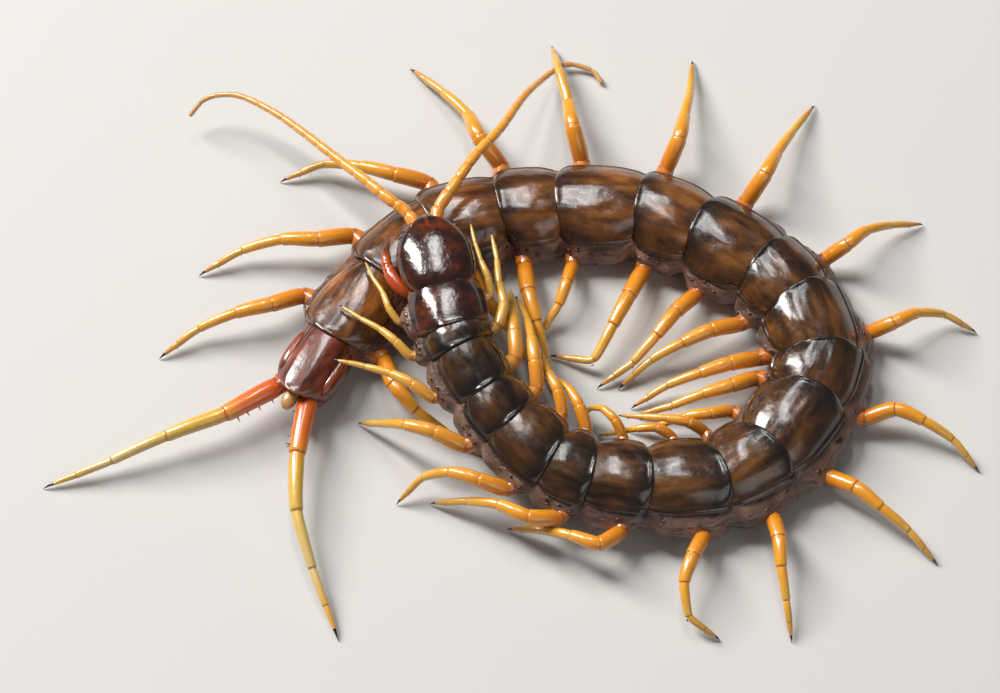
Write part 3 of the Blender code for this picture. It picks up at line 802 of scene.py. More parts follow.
def belly_plate(index):
    length, width, _, _ = SEGMENTS[index]
    full = width * THICKNESS_RATIO
    rows, charts = [], []
    for i in range(BELLY_ROWS):
        part = i / (BELLY_ROWS - 1)
        share = between(0.05, 0.95, part)
        row = []
        for j in range(BELLY_COLUMNS):
            across = 1.0 - 2.0 * j / (BELLY_COLUMNS - 1)
            half = width / 2 * BELLY_COVER * plate_outline(part, 0.12, 0.3, 0.14)
            groove = 0.08 * bell(abs(across), 0.42, 0.08)
            height = ridge_at(index, share) - full + 0.12 + groove + 0.25 * abs(across) ** 4
            row.append(trunk_point(index, share, across * half, height))
            charts.append((across * half + 30.0, part * length, index * 13.0))
        rows.append(row)
    values = {"along": [RIMLESS] * len(charts)}
    name = f"belly_plate_{index + 1:02d}"
    plate = shell(name, rows, BELLY_THICKNESS, BELLY_EDGE, values, charts)
    return dress(plate, tail_finish)


belly_plates = [belly_plate(index) for index in range(len(SEGMENTS))]
print("belly plates:", len(belly_plates))

# %% [markdown]
# ## Walking legs
# A leg is a chain of six stiff tubes: a short ring at the hip, two stout articles, a shin and a
# two-part foot that ends in a claw. Each tube starts narrow inside the one before, swells, and
# ends in a slightly flared rim. One loft runs down the whole leg and gives every article that
# profile. Legs without heights of their own stand in the same low arch.

# %% The walking legs' sizes
# Lengths and radii in millimetres, from the ring at the hip to the foot
TROCHANTER = 0.9
LEG_SECTIONS = (3.8, 3.5, 4.2, 4.9)
LEG_RADII = (0.95, 0.88, 0.62, 0.44)
# Shares of the foot's length where it splits in two and where its claw begins
TARSUS_SPLIT, CLAW_START = 0.52, 0.82
# How far over its hip a standing leg's knee and the end of its second long section are
STANDING_ARCH = (1.5, 1.2)
# The hip's height in the trunk's thickness, its gap from the flank and its depth in the skin
HIP_HEIGHT, GAP, HIP_DEPTH = 0.245, 0.3, 1.2
# Along one article: the share of its length, and its radius there against its greatest
ARTICLE = (
    (0.015, 0.89),
    (0.07, 0.93),
    (0.20, 0.98),
    (0.42, 1.0),
    (0.66, 0.985),
    (0.84, 0.975),
    (0.93, 0.99),
    (0.97, 0.985),
    (0.992, 0.92),
)
# The share of an article over which the bend at its end is rounded off
CORNER = 0.32


# %% A limb's joints and its loft
def rounded_place(path, k, t):
    """A point along article k of a path whose corners are rounded off."""
    a, b = path[k], path[k + 1]
    if t < CORNER and k > 0:
        start, corner, end = a + (path[k - 1] - a) * CORNER, a, a + (b - a) * CORNER
        u = 0.5 + 0.5 * t / CORNER
    elif t > 1.0 - CORNER and k + 2 < len(path):
        start, corner, end = b + (a - b) * CORNER, b, b + (path[k + 2] - b) * CORNER
        u = 0.5 * (t - 1.0 + CORNER) / CORNER
    else:
        return between(a, b, t)
    return between(between(start, corner, u), between(corner, end, u), u)


def limb_joints(start, outward, sections, directions, heights):
    """The joints of a limb, from its hip to the tip of its claw."""
    joints = [start, start + outward * TROCHANTER]
    for length, direction, height in zip(sections, directions, heights):
        drop = height - joints[-1].z
        reach = math.sqrt(max(length**2 - drop**2, 0.2))
        place = joints[-1] + direction * reach
        joints.append(Vector((place.x, place.y, height)))
    return joints


def tube_ring(centre, along, radius, sides):
    side = Vector((along.y, -along.x, 0.0)).normalized()
    up = side.cross(along).normalized()
    if up.z < 0:
        up = -up
    ring = []
    for i in range(sides):
        angle = 2 * math.pi * (i + 0.5) / sides
        point = centre + side * math.sin(angle) * radius - up * math.cos(angle) * radius
        ring.append(Vector((point.x, point.y, max(point.z, 0.03))))
    return ring


def limb_loft(joints, radii, base_radius, sides=14):
    """The rings of a limb with its foot split in two, and each ring's reach and joint numbers."""
    foot_start, tip = joints[4], joints[5]
    split = between(foot_start, tip, TARSUS_SPLIT)
    claw = between(foot_start, tip, CLAW_START + 0.02)
    path = [*joints[:5], split, claw]
    girths = [g * 1.15 for g in (base_radius, *radii, radii[3] * 0.86)]
    lengths = [(b - a).length for a, b in zip(path, path[1:])]
    centres, widths, reaches, lines = [], [], [], []
    done = 0.0
    for k, length in enumerate(lengths):
        taper = girths[k + 1] / girths[k] if k + 1 < len(girths) else 0.3
        for t, wide in ARTICLE:
            if k == 0:
                wide = 1.32 - 0.36 * t**0.7
            arch = math.sin(math.pi * t) * length * 0.025
            centres.append(rounded_place(path, k, t) + Vector((0.0, 0.0, arch)))
            widths.append(girths[k] * wide * between(1.0, between(1.0, taper, 0.7), t))
            reaches.append((done + t * length) / sum(lengths))
            lines.append(max(bell(t, 1.0, 0.025), bell(t, 0.0, 0.03)) if k else bell(t, 1.0, 0.2))
        done += length
    rings = []
    for i, (centre, wide) in enumerate(zip(centres, widths)):
        facing = centres[min(i + 1, len(centres) - 1)] - centres[max(i - 1, 0)]
        rings.append(tube_ring(centre, facing.normalized(), wide, sides))
    return rings, reaches, lines


# %% [markdown]
# The claws, and the short spurs at the foot's joints, are thorns at many places. Each leg only
# notes where a thorn stands, which way it points and how long it is. The spurs grow later, in one
# Geometry Nodes tree, and the claws are lofted later, each shaped to its own foot.

# %% Making the legs
claw_notes = []
spur_notes = []
DOWN = Vector((0.0, 0.0, -1.0))


def note_claw(foot_start, tip, radius):
    root = between(foot_start, tip, CLAW_START - 0.01)
    point = Vector((tip.x, tip.y, tip.z - 0.25))
    claw_notes.append((root, point, radius))


def note_spurs(joints, radii):
    foot = joints[5] - joints[4]
    split = between(joints[4], joints[5], TARSUS_SPLIT)
    side = Vector((foot.y, -foot.x, 0.0)).normalized()
    aim = (foot.normalized() + DOWN * 0.5).normalized()
    for place, radius in ((joints[4], radii[2] * 0.78), (split, radii[3] * 0.8)):
        for sign in (1, -1):
            root = place + side * radius * 0.55 * sign + DOWN * radius * 0.65
            spur_notes.append((root, (aim + side * 0.35 * sign).normalized(), 0.5))


def hip(index, sign, share):
    _, width, heading, _ = SEGMENTS[index]
    height = ridge_at(index, share) - width * THICKNESS_RATIO * (1 - HIP_HEIGHT)
    sideways = sign * (width / 2 * FLANKS[sign] + GAP)
    return trunk_point(index, share, sideways, height), left_of(heading_vector(heading)) * sign


def walking_leg(index, sign, row):
    share, size, bends, heights = row
    start, outward = hip(index, sign, share)
    if heights is STANDING:
        knee, femur_end = STANDING_ARCH
        heights = (start.z + knee, start.z + femur_end, 1.0 + start.z / 2, 0.35)
    forward = -heading_vector(SEGMENTS[index][2])
    turns = [math.radians(bend) for bend in bends]
    directions = [outward * math.cos(turn) + forward * math.sin(turn) for turn in turns]
    joints = limb_joints(start, outward, [s * size for s in LEG_SECTIONS], directions, heights)
    slimming = 0.9 if size < 1.0 else 0.3
    girth = 0.95 + (size - 1.0) * slimming - 0.15 * bell(index, 0.0, 1.6)
    radii = [radius * girth for radius in LEG_RADII]
    joints[0] = joints[0] - outward * HIP_DEPTH
    rings, reaches, lines = limb_loft(joints, radii, radii[0] * 1.02)
    side = SIDES[sign]
    paleness = [0.55 * bell(index, 0.0, 2.4)] * len(rings)
    numbers = {"reach": reaches, "joint": lines, "pale": paleness}
    leg = tube_piece(f"limb_{side}_{index + 1:02d}", rings, numbers)
    refine(leg)
    note_claw(joints[4], joints[5], radii[3] * 0.48)
    note_spurs(joints, radii)
    return dress(leg, leg_finish, [f"leg_{side}_{index + 1:02d}"])


walking_legs = [walking_leg(i, 1, row) for i, row in enumerate(LEFT_LEGS)]
walking_legs += [walking_leg(i, -1, row) for i, row in enumerate(RIGHT_LEGS)]
print("walking legs:", len(walking_legs))

# %% [markdown]
# ## The last legs and the tail
# The last pair doesn't walk. It trails behind like a pair of tongs: longer and stouter, with small
# black spines on the first long article. Between them is a blunt end piece, and beside the last
# back plate lie the two swollen hip plates that carry them.

# %% The last pair of legs
LAST_LEG_RADII = (1.15, 0.88, 0.66, 0.46)
LAST_LEG_HEIGHTS = (4.2, 3.8, 2.2, 0.35)
# For each side: how far along the tail and sideways it starts, its sections and their bends
LAST_LEGS = {
    1: (-0.6, 2.3, (7.5, 7.3, 7.3, 8.6), (28, 40, 38, 42)),
    -1: (-0.9, -1.5, (7.5, 7.1, 7.3, 8.9), (20, 30, 47, 51)),
}
LAST_LEG_ROOT_HEIGHT = 3.9
# For each spine: how far along the first long article, and how far it leans down
LAST_LEG_SPINES = ((0.30, 0.2), (0.52, 0.5), (0.74, 0.2), (0.90, 0.5), (0.93, -0.6))
TAIL_ALONG = heading_vector(SEGMENTS[LAST][2])
TAIL_LEFT = left_of(TAIL_ALONG)


def last_leg(sign):
    along, sideways, sections, bends = LAST_LEGS[sign]
    start = JOINTS[-1] + TAIL_LEFT * sideways + TAIL_ALONG * along
    start.z = LAST_LEG_ROOT_HEIGHT
    turns = [math.radians(bend) for bend in bends]
    directions = [TAIL_ALONG * math.cos(t) + TAIL_LEFT * sign * math.sin(t) for t in turns]
    joints = limb_joints(start, TAIL_ALONG, sections, directions, LAST_LEG_HEIGHTS)
    rings, reaches, lines = limb_loft(joints, LAST_LEG_RADII, 0.80, 18)
    side = SIDES[sign]
    leg = tube_piece(f"trailing_leg_{side}", rings, {"reach": reaches, "joint": lines})
    refine(leg)
    note_claw(joints[4], joints[5], LAST_LEG_RADII[3] * 0.5)
    inward = -TAIL_LEFT * sign
    for part, lower in LAST_LEG_SPINES:
        way = (inward + DOWN * lower).normalized()
        root = between(joints[1], joints[2], part) + way * LAST_LEG_RADII[0] * 0.88
        spur_notes.append((root, (way + TAIL_ALONG * 0.5).normalized(), 0.75))
    return dress(leg, last_leg_finish, [f"leg_{side}_{LAST + 1:02d}"])


trailing_legs = [last_leg(1), last_leg(-1)]
print("trailing legs:", len(trailing_legs))


# %% A rounded body along the tail
def tail_loft(name, stations, finish, sides=20):
    """A rounded body along the tail: distance, sideways, height, half width and half height."""
    rings, charts = [], []
    for travel, sideways, height, wide, high in stations:
        centre = JOINTS[-1] + TAIL_ALONG * travel + TAIL_LEFT * sideways
        ring = []
        for i in range(sides):
            angle = 2 * math.pi * i / sides
            across = math.copysign(abs(math.cos(angle)) ** 0.85, math.cos(angle))
            up = math.copysign(abs(math.sin(angle)) ** 0.85, math.sin(angle))
            place = centre + TAIL_LEFT * across * wide
            ring.append(Vector((place.x, place.y, height + up * high)))
            charts.append((angle * 1.5 + 40.0, travel, sideways))
        rings.append(ring)
    numbers = [RIMLESS] * len(rings)
    piece = tube_piece(name, rings, {"along": numbers, "tone": numbers}, charts)
    refine(piece)
    return dress(piece, finish)


# %% [markdown]
# The hip plates are swollen and long, and narrow where the last legs leave them. The end piece is
# a blunt ochre peg, and a cushion of soft skin closes the trunk round it.

# %% The hip plates and the end piece
# Along a hip plate: the share of its length, its middle's place sideways and height, and half sizes
HIP_PLATE = (
    (0.00, 2.50, 3.90, 0.25, 0.40),
    (0.05, 2.60, 3.95, 0.70, 1.20),
    (0.20, 2.85, 4.00, 0.95, 1.75),
    (0.45, 2.95, 4.00, 1.00, 1.90),
    (0.70, 2.95, 4.00, 1.00, 1.80),
    (0.86, 2.80, 3.95, 0.95, 1.60),
    (0.96, 2.60, 3.90, 0.85, 1.30),
    (1.00, 2.50, 3.90, 0.65, 0.95),
)
HIP_PLATE_FRONT = -7.6
for sign, hind_end in ((1, -0.7), (-1, -0.2)):
    stations = []
    for part, sideways, *sizes in HIP_PLATE:
        travel = between(HIP_PLATE_FRONT, hind_end, part)
        stations.append((travel, sideways * sign, *sizes))
    tail_loft(f"hip_plate_{SIDES[sign]}", stations, tail_finish)
ochre = ((0.0, "#B98A50"), (1.0, "#B98A50"))
end_finish = limb_cuticle("ochre_membrane_end_piece", ochre, 0.35, 0.1)
tail_loft(
    "end_piece",
    (
        (-0.6, 0.25, 4.2, 0.5, 0.6),
        (-0.2, 0.25, 4.25, 0.80, 0.9),
        (0.9, 0.25, 4.3, 0.90, 0.95),
        (1.9, 0.25, 4.3, 0.88, 0.9),
        (2.5, 0.25, 4.25, 0.70, 0.7),
        (2.75, 0.25, 4.2, 0.35, 0.35),
    ),
    end_finish,
)
tail_loft(
    "end_skin",
    (
        (-1.4, 0.0, 4.5, 1.6, 1.0),
        (-0.8, 0.0, 4.55, 2.1, 1.35),
        (0.0, 0.0, 4.6, 2.05, 1.35),
        (0.3, 0.0, 4.6, 1.8, 1.1),
        (0.42, 0.0, 4.55, 1.2, 0.7),
    ),
    flank_finish,
)
print("tail pieces made")

# %% [markdown]
# ## The head
# The head is one domed plate, egg-shaped from above, with a thin rim, a short reddish seam at its
# front, and four tiny glossy eyes at each front corner. A loft of sections along the head makes
# it, with more sections near the front, where the outline curves fastest. The same function that
# places the dome also places the eyes, so they sit exactly in its surface.

# %% The head's sizes and surface
HEAD_LENGTH = 9.9
HEAD_WIDTH = 9.0
HEAD_TOP = 12.9
HEAD_MARGIN = 10.7
HEAD_UNDERSIDE = 9.35
HEAD_ALONG = heading_vector(284.0)
HEAD_LEFT = left_of(HEAD_ALONG)
HEAD_SIDES, HEAD_RINGS = 64, 44
# The share of the head's length at which its rounded hind end closes
HEAD_END = 1.079
# The shares of its length where it is widest and highest
HEAD_WIDEST, HEAD_HIGHEST = 0.55, 0.52


def head_point(share, sideways, height):
    place = JOINTS[0] - HEAD_ALONG * (GAP / 2 + HEAD_LENGTH * (1 - share)) + HEAD_LEFT * sideways
    return Vector((place.x, place.y, height))


def head_half_width(share):
    """From a narrow front to a broad, nearly straight hind end, in parts of half its width."""
    if share < HEAD_WIDEST:
        return max(0.13, (1.0 - ((HEAD_WIDEST - share) / HEAD_WIDEST) ** 1.8) ** (1 / 1.8))
    return max(0.0, 1.0 - ((share - HEAD_WIDEST) / 0.53) ** 3.2) ** (1 / 3.2)


def head_crown(share):
    if share < HEAD_HIGHEST:
        return 0.2 + 0.8 * (1.0 - ((HEAD_HIGHEST - share) / HEAD_HIGHEST) ** 2) ** 0.6
    back = (share - HEAD_HIGHEST) / 0.56
    return (1.0 - 0.16 * back**2) * max(0.0, 1.0 - back**7) ** (1 / 3)


def head_surface(share, angle):
    """A point of the head: the angle is 0 at its left margin and a quarter turn at its crown."""
    across, up = math.cos(angle), math.sin(angle)
    wide = head_half_width(share)
    if up >= 0:
        height = HEAD_MARGIN + (HEAD_TOP - HEAD_MARGIN) * head_crown(share) * up**0.9
    else:
        height = HEAD_MARGIN + (HEAD_UNDERSIDE - HEAD_MARGIN) * min(1.0, wide * 1.25) * (-up) ** 0.6
    rim = 1.0 + 0.018 * bell(up, 0.04, 0.06)
    spread = math.copysign(abs(across) ** 0.85, across) * wide * rim
    return head_point(share, spread * HEAD_WIDTH / 2, height)


# %% The head's dome
rings, seams, rims = [], [], []
for i in range(HEAD_RINGS):
    share = HEAD_END * (0.5 - 0.5 * math.cos(math.pi * i / (HEAD_RINGS - 1)))
    ring = []
    for j in range(HEAD_SIDES):
        angle = 2 * math.pi * j / HEAD_SIDES
        point = head_surface(share, angle)
        crown = angle < math.pi
        middle = abs(math.cos(angle)) * head_half_width(share) * HEAD_WIDTH / 2
        seam = bell(middle, 0.0, 0.16) * (1.0 if crown and share < 0.24 else 0.0)
        point.z -= 0.12 * seam
        ring.append(point)
        seams.append(seam)
        rims.append(bell(math.sin(angle), 0.0, 0.1))
    rings.append(ring)
for values in (seams, rims):
    values.extend((0.0, 0.0))
numbers = {"seam": seams, "rim": rims}
faces = tube_faces(HEAD_RINGS, HEAD_SIDES)
head_dome = new_piece("head_dome", with_caps(rings), faces, numbers)
dress(head_dome, head_finish, ["head"])
print("head faces:", len(head_dome.data.polygons))


# %% [markdown]
# ## Thorns, claws and eyes by Geometry Nodes
# One tree grows a small shape on each point of a cloud. The cloud's points carry the way to aim
# and the size, which the tree reads by name. Eyes, spurs and hairs all use it, with a different
# shape plugged in. The tree ends by making the copies real and giving them their material,
# because copies that only refer to a shape are lost when the model leaves Blender.


# %% Starting and ending a tree
def start_tree(name, inputs):
    """A tree that takes a shape and some named numbers."""
    tree = bpy.data.node_groups.new(name, "GeometryNodeTree")
    tree.interface.new_socket("Geometry", in_out="INPUT", socket_type="NodeSocketGeometry")
    for label in inputs:
        tree.interface.new_socket(label, in_out="INPUT", socket_type="NodeSocketFloat")
    tree.interface.new_socket("Geometry", in_out="OUTPUT", socket_type="NodeSocketGeometry")
    return tree, add_node(tree, "NodeGroupInput")


def end_tree(tree, shape, material):
    """Makes copies real and smooth, gives them their material and hands them out."""
    for kind, settings in (
        ("GeometryNodeRealizeInstances", {}),
        ("GeometryNodeSetShadeSmooth", {}),
        ("GeometryNodeSetMaterial", {"Material": material}),
        ("NodeGroupOutput", {}),
    ):
        shape = add_node(tree, kind, settings, {"Geometry": shape})
    return tree


# %% The growing tree
def growing_tree(name, shape, material):
    """A tree that grows a shape on each point, aimed, turned and sized as the point says."""
    tree, source = start_tree(name, ("Stoutness", "Stretch"))
    told = {}
    for key, kind in (("aim", "FLOAT_VECTOR"), ("lie", "FLOAT_VECTOR"), ("size", "FLOAT")):
        settings = {"data_type": kind, "Name": key}
        told[key] = add_node(tree, "GeometryNodeInputNamedAttribute", settings)
    align = "FunctionNodeAlignRotationToVector"
    aimed = add_node(tree, align, {"axis": "Z"}, {"Vector": told["aim"]})
    links = {"Rotation": aimed, "Vector": told["lie"]}
    turned = add_node(tree, align, {"axis": "X", "pivot_axis": "Z"}, links)
    widths = [told["size"]]
    for label in ("Stoutness", "Stretch"):
        links = {0: widths[-1], 1: source.outputs[label]}
        widths.append(add_node(tree, "ShaderNodeMath", {"operation": "MULTIPLY"}, links))
    links = {"X": widths[2], "Y": widths[1], "Z": widths[0]}
    scale = add_node(tree, "ShaderNodeCombineXYZ", {}, links)
    grown = add_node(tree, shape[0], shape[1])
    links = {"Points": source, "Instance": grown, "Rotation": turned, "Scale": scale}
    return end_tree(tree, add_node(tree, "GeometryNodeInstanceOnPoints", {}, links), material)


# %% Running a tree on a cloud of points
def socket_id(tree, name):
    for item in tree.interface.items_tree:
        if item.name == name and item.in_out == "INPUT":
            return item.identifier


def grow(piece, tree, inputs):
    """Runs a tree on a piece and keeps its result as a plain mesh."""
    modifier = piece.modifiers.new("grow", "NODES")
    modifier.node_group = tree
    for name, value in inputs.items():
        modifier[socket_id(tree, name)] = value
    graph = bpy.context.evaluated_depsgraph_get()
    mesh = bpy.data.meshes.new_from_object(piece.evaluated_get(graph))
    piece.modifiers.remove(modifier)
    piece.data = mesh
    mesh.name = piece.name
    return piece


def cloud(name, notes, lies=()):
    """A piece of loose points in millimetres, from (place, aim, size in millimetres)."""
    mesh = bpy.data.meshes.new(name)
    mesh.from_pydata([place * 0.001 for place, _, _ in notes], [], [])
    aims = [aim for _, aim, _ in notes]
    for key, ways in (("aim", aims), ("lie", lies or [(1.0, 0.0, 0.0)] * len(notes))):
        flat = [number for way in ways for number in way]
        mesh.attributes.new(key, "FLOAT_VECTOR", "POINT").data.foreach_set("vector", flat)
    sizes = [size * 0.001 for _, _, size in notes]
    mesh.attributes.new("size", "FLOAT", "POINT").data.foreach_set("value", sizes)
    return place_object(name, mesh)


CONE = {"Vertices": 8, "Side Segments": 3, "Radius Top": 0.04, "Radius Bottom": 0.5, "Depth": 1.0}
THORN = ("GeometryNodeMeshCone", CONE)
BRISTLE = ("GeometryNodeMeshCone", {**CONE, "Vertices": 4, "Side Segments": 1, "Radius Top": 0.05})
BEAD = ("GeometryNodeMeshUVSphere", {"Segments": 16, "Rings": 10, "Radius": 1.0})


# %% Spurs and eyes
spur_tree = growing_tree("grow_spurs", THORN, claw_finish)
leg_spurs = grow(cloud("leg_spurs", spur_notes), spur_tree, {"Stoutness": 0.36, "Stretch": 1.0})
dress(leg_spurs, None)

# Each eye's share of the head's length, and its angle up from the margin
EYES = ((0.17, 0.20), (0.235, 0.17), (0.18, 0.46), (0.245, 0.42))
eye_notes = []
for sign in (1, -1):
    for share, lift in EYES:
        angle = lift if sign == 1 else math.pi - lift
        place = head_surface(share, angle)
        outward = (place - head_point(0.5, 0.0, HEAD_MARGIN - 1.0)).normalized()
        eye_notes.append((place - outward * 0.08, outward, 0.27))
eye_tree = growing_tree("grow_eyes", BEAD, eye_finish)
eyes = grow(cloud("eyes", eye_notes), eye_tree, {"Stoutness": 1.0, "Stretch": 1.0})
dress(eyes, None)
print("spurs:", len(spur_notes), "eyes:", len(eye_notes))

# %% [markdown]
# Small scraps of hard brown cuticle lie in the soft skin round each hip. Every second segment or so
# also has a breathing hole there, which is not made here. The scraps are flat beads, aimed straight
# out of the skin and laid lengthwise along the body.


# %% Hard scraps in the flank skin
# From its hip: how far along the segment, which mark of the skin's section, and how big
SCRAPS = (
    (-0.27, 6, 0.10),
    (-0.06, 5, 0.085),
    (0.15, 6, 0.10),
    (0.29, 8, 0.08),
    (-0.33, 10, 0.075),
    (0.05, 7, 0.07),
)


def skin_place(index, share, sign, mark):
    return skin_ring(index, share)[0][mark * sign]


scrap_notes, scrap_lies = [], []
for index in range(LAST):
    for sign in (1, -1):
        for step, mark, size in SCRAPS:
            share = min(max(HIP_SHARES[sign][index] + step, 0.08), 0.92)
            place = skin_place(index, share, sign, mark)
            ahead, behind = [skin_place(index, share + d, sign, mark) for d in (0.03, -0.03)]
            upper, lower = [skin_place(index, share, sign, mark + d) for d in (-1, 1)]
            along = ahead - behind
            outward = along.cross(upper - lower).normalized()
            if outward.dot(left_of(along) * sign) < 0:
                outward = -outward
            scrap_notes.append((place - outward * 0.02, outward, size))
            scrap_lies.append(along.normalized())
scrap_finish = black_chitin("hard_scraps_on_flanks", "#20100A", 0.22)
scrap_tree = growing_tree("grow_scraps", BEAD, scrap_finish)
flank_scraps = cloud("flank_scraps", scrap_notes, scrap_lies)
grow(flank_scraps, scrap_tree, {"Stoutness": 1.9, "Stretch": 2.0})
dress(flank_scraps, None)
print("scraps on the flanks:", len(scrap_notes))

# %% [markdown]
# A leg's claw is a curved thorn that touches the ground with its point, so each one is shaped to
# its own foot: it leaves the foot in line and hooks down.

# %% The claws
CLAW_RINGS, CLAW_SIDES = 8, 10
claw_points, claw_faces = [], []
for root, tip, radius in claw_notes:
    rings = []
    for i in range(CLAW_RINGS):
        t = i / (CLAW_RINGS - 1)
        place = between(root, tip, t)
        place.z += 0.14 * math.sin(math.pi * t)
        along = (tip - root).normalized() + DOWN * (t - 0.4) * 0.5
        rings.append(tube_ring(place, along.normalized(), radius * (1.0 - 0.9 * t**1.3), CLAW_SIDES))
    first = len(claw_points)
    claw_points.extend(with_caps(rings))
    for face in tube_faces(CLAW_RINGS, CLAW_SIDES):
        claw_faces.append(tuple(first + k for k in face))
leg_claws = new_piece("leg_claws", claw_points, claw_faces)
dress(leg_claws, claw_finish)
print("claws:", len(claw_notes))

# %% [markdown]
# ## Venom claws
# The first pair of legs has become a pair of venom claws that curve round under the head from a
# broad toothed plate. Their stout orange-red base bulges beside the head, then two short rings
# and a black fang follow. Only the left one shows from above.

# %% The venom claws' sizes
# Along a claw: the share of the head's length, how far left of its middle, height and radius
VENOM_CLAWS = {
    "left": (
        (0.89, 3.6, 8.9, 0.70),
        (0.82, 4.5, 9.1, 0.85),
        (0.70, 5.2, 9.3, 0.85),
        (0.58, 5.5, 9.4, 0.78),
        (0.50, 5.6, 9.4, 0.66),
        (0.42, 5.6, 9.4, 0.66),
        (0.30, 5.4, 9.35, 0.48),
        (0.21, 5.0, 9.25, 0.30),
        (0.14, 4.6, 9.1, 0.08),
    ),
    "right": (
        (0.92, -3.35, 8.75, 0.66),
        (0.83, -3.75, 8.72, 0.62),
        (0.68, -3.95, 8.70, 0.60),
        (0.56, -3.90, 8.68, 0.56),
        (0.44, -3.55, 8.65, 0.50),
        (0.32, -2.9, 8.60, 0.40),
        (0.24, -2.2, 8.55, 0.26),
        (0.19, -1.5, 8.5, 0.08),
    ),
}

# %% A smooth path through a few marks
PATH_STEPS = 16


def smooth_path(points, count):
    """Evenly spread points on a smooth curve through the given ones, of any number of parts."""
    ends = [points[0] * 2 - points[1], *points, points[-1] * 2 - points[-2]]
    fine = []
    for a, b, c, d in zip(ends, ends[1:], ends[2:], ends[3:]):
        for step in range(PATH_STEPS):
            t = step / PATH_STEPS
            curve = 2 * b + (c - a) * t + (2 * a - 5 * b + 4 * c - d) * (t * t)
            fine.append(0.5 * (curve + (3 * b - a - 3 * c + d) * (t * t * t)))
    fine.append(points[-1])
    lengths = [0.0]
    for a, b in zip(fine, fine[1:]):
        lengths.append(lengths[-1] + (b - a).length)
    placed, i = [], 0
    for step in range(count):
        target = lengths[-1] * step / (count - 1)
        while i < len(fine) - 2 and lengths[i + 1] < target:
            i += 1
        share = (target - lengths[i]) / (lengths[i + 1] - lengths[i])
        placed.append(between(fine[i], fine[i + 1], share))
    return placed


# %% The venom claws
VENOM_RINGS, VENOM_SIDES = 46, 20
# The folds between a venom claw's four parts, as shares of its length
VENOM_FOLDS = (0.47, 0.56, 0.65)
for side, rows in VENOM_CLAWS.items():
    marks = [Vector((*head_point(*row[:3]), row[3])) for row in rows]
    path = smooth_path(marks, VENOM_RINGS)
    rings, reaches, lines = [], [], []
    for i, mark in enumerate(path):
        t = i / (len(path) - 1)
        before, after = path[max(i - 1, 0)], path[min(i + 1, len(path) - 1)]
        fold = max(bell(t, place, 0.014) for place in VENOM_FOLDS)
        radius = max(mark[3], 0.03) * (1.0 - 0.14 * fold)
        facing = (after - before).xyz.normalized()
        rings.append(tube_ring(mark.xyz, facing, radius, VENOM_SIDES))
        reaches.append(t)
        lines.append(fold * 0.8)
    claw = tube_piece(f"venom_fang_{side}", rings, {"reach": reaches, "joint": lines})
    dress(claw, venom_claw_finish, [f"venom_claw_{side}"])

# %% The claws' base plate
BASE_ROWS, BASE_COLUMNS = 24, 25
rows, charts = [], []
for i in range(BASE_ROWS):
    part = i / (BASE_ROWS - 1)
    share = between(0.27, 1.0, part)
    row = []
    for j in range(BASE_COLUMNS):
        across = 1.0 - 2.0 * j / (BASE_COLUMNS - 1)
        half = between(1.25, 2.9, min(1.0, part * 1.6) ** 0.6)
        teeth = 0.012 * abs(math.sin(across * math.pi * 4.0)) * bell(part, 0.0, 0.06)
        notch = 0.035 * bell(across, 0.0, 0.12) * bell(part, 0.0, 0.12)
        height = 9.0 - 0.35 * abs(across) ** 3
        row.append(head_point(share - teeth + notch, across * half, height))
        charts.append((across * half + 50.0, part * 7.0, 3.0))
    rows.append(row)
numbers = {"along": [RIMLESS] * len(charts)}
venom_base = shell("venom_base_plate", rows, 0.75, 0.12, numbers, charts)
refine(venom_base)
dress(venom_base, tail_finish, ["venom_claw_base"])
print("venom claws made")

# %% [markdown]
# ## Feelers
# A feeler is a string of about eighteen short articles. The first six are bare and glossy, the
# rest duller under fine hairs. Articles repeat along a path, which is what Geometry Nodes are
# for: the tree takes a thin curve, counts out the articles along it, narrows the curve at each
# border, and sweeps a round section along it.

# %% The feelers' paths
FEELER_ARTICLES = 18
FEELER_BASE_RADIUS, FEELER_TIP_RADIUS = 0.82, 0.27
FEELER_POINTS = 90
# How far ahead of the head's front, to its left and above its feelers' sockets
FEELERS = {
    "left": (
        (-1.6, 1.1, -0.75),
        (0.0, 1.6, -0.55),
        (1.1, 2.1, -0.5),
        (2.9, 3.6, -0.2),
        (6.3, 5.8, -0.4),
        (10.7, 8.6, -1.1),
        (15.2, 11.3, -2.1),
        (19.4, 14.0, -3.3),
        (23.7, 17.6, -5.1),
        (25.2, 21.2, -6.8),
        (24.1, 23.7, -8.2),
    ),
    "right": (
        (-1.6, -1.1, -0.75),
        (-0.1, -1.6, -0.5),
        (0.8, -2.3, -0.4),
        (1.9, -3.5, -0.1),
        (6.0, -7.6, -0.3),
        (9.8, -11.8, -1.8),
        (15.2, -16.3, -4.7),
        (19.8, -20.7, -9.1),
        (21.2, -23.2, -10.5),
        (19.9, -25.9, -10.9),
        (18.0, -26.7, -11.1),
    ),
}

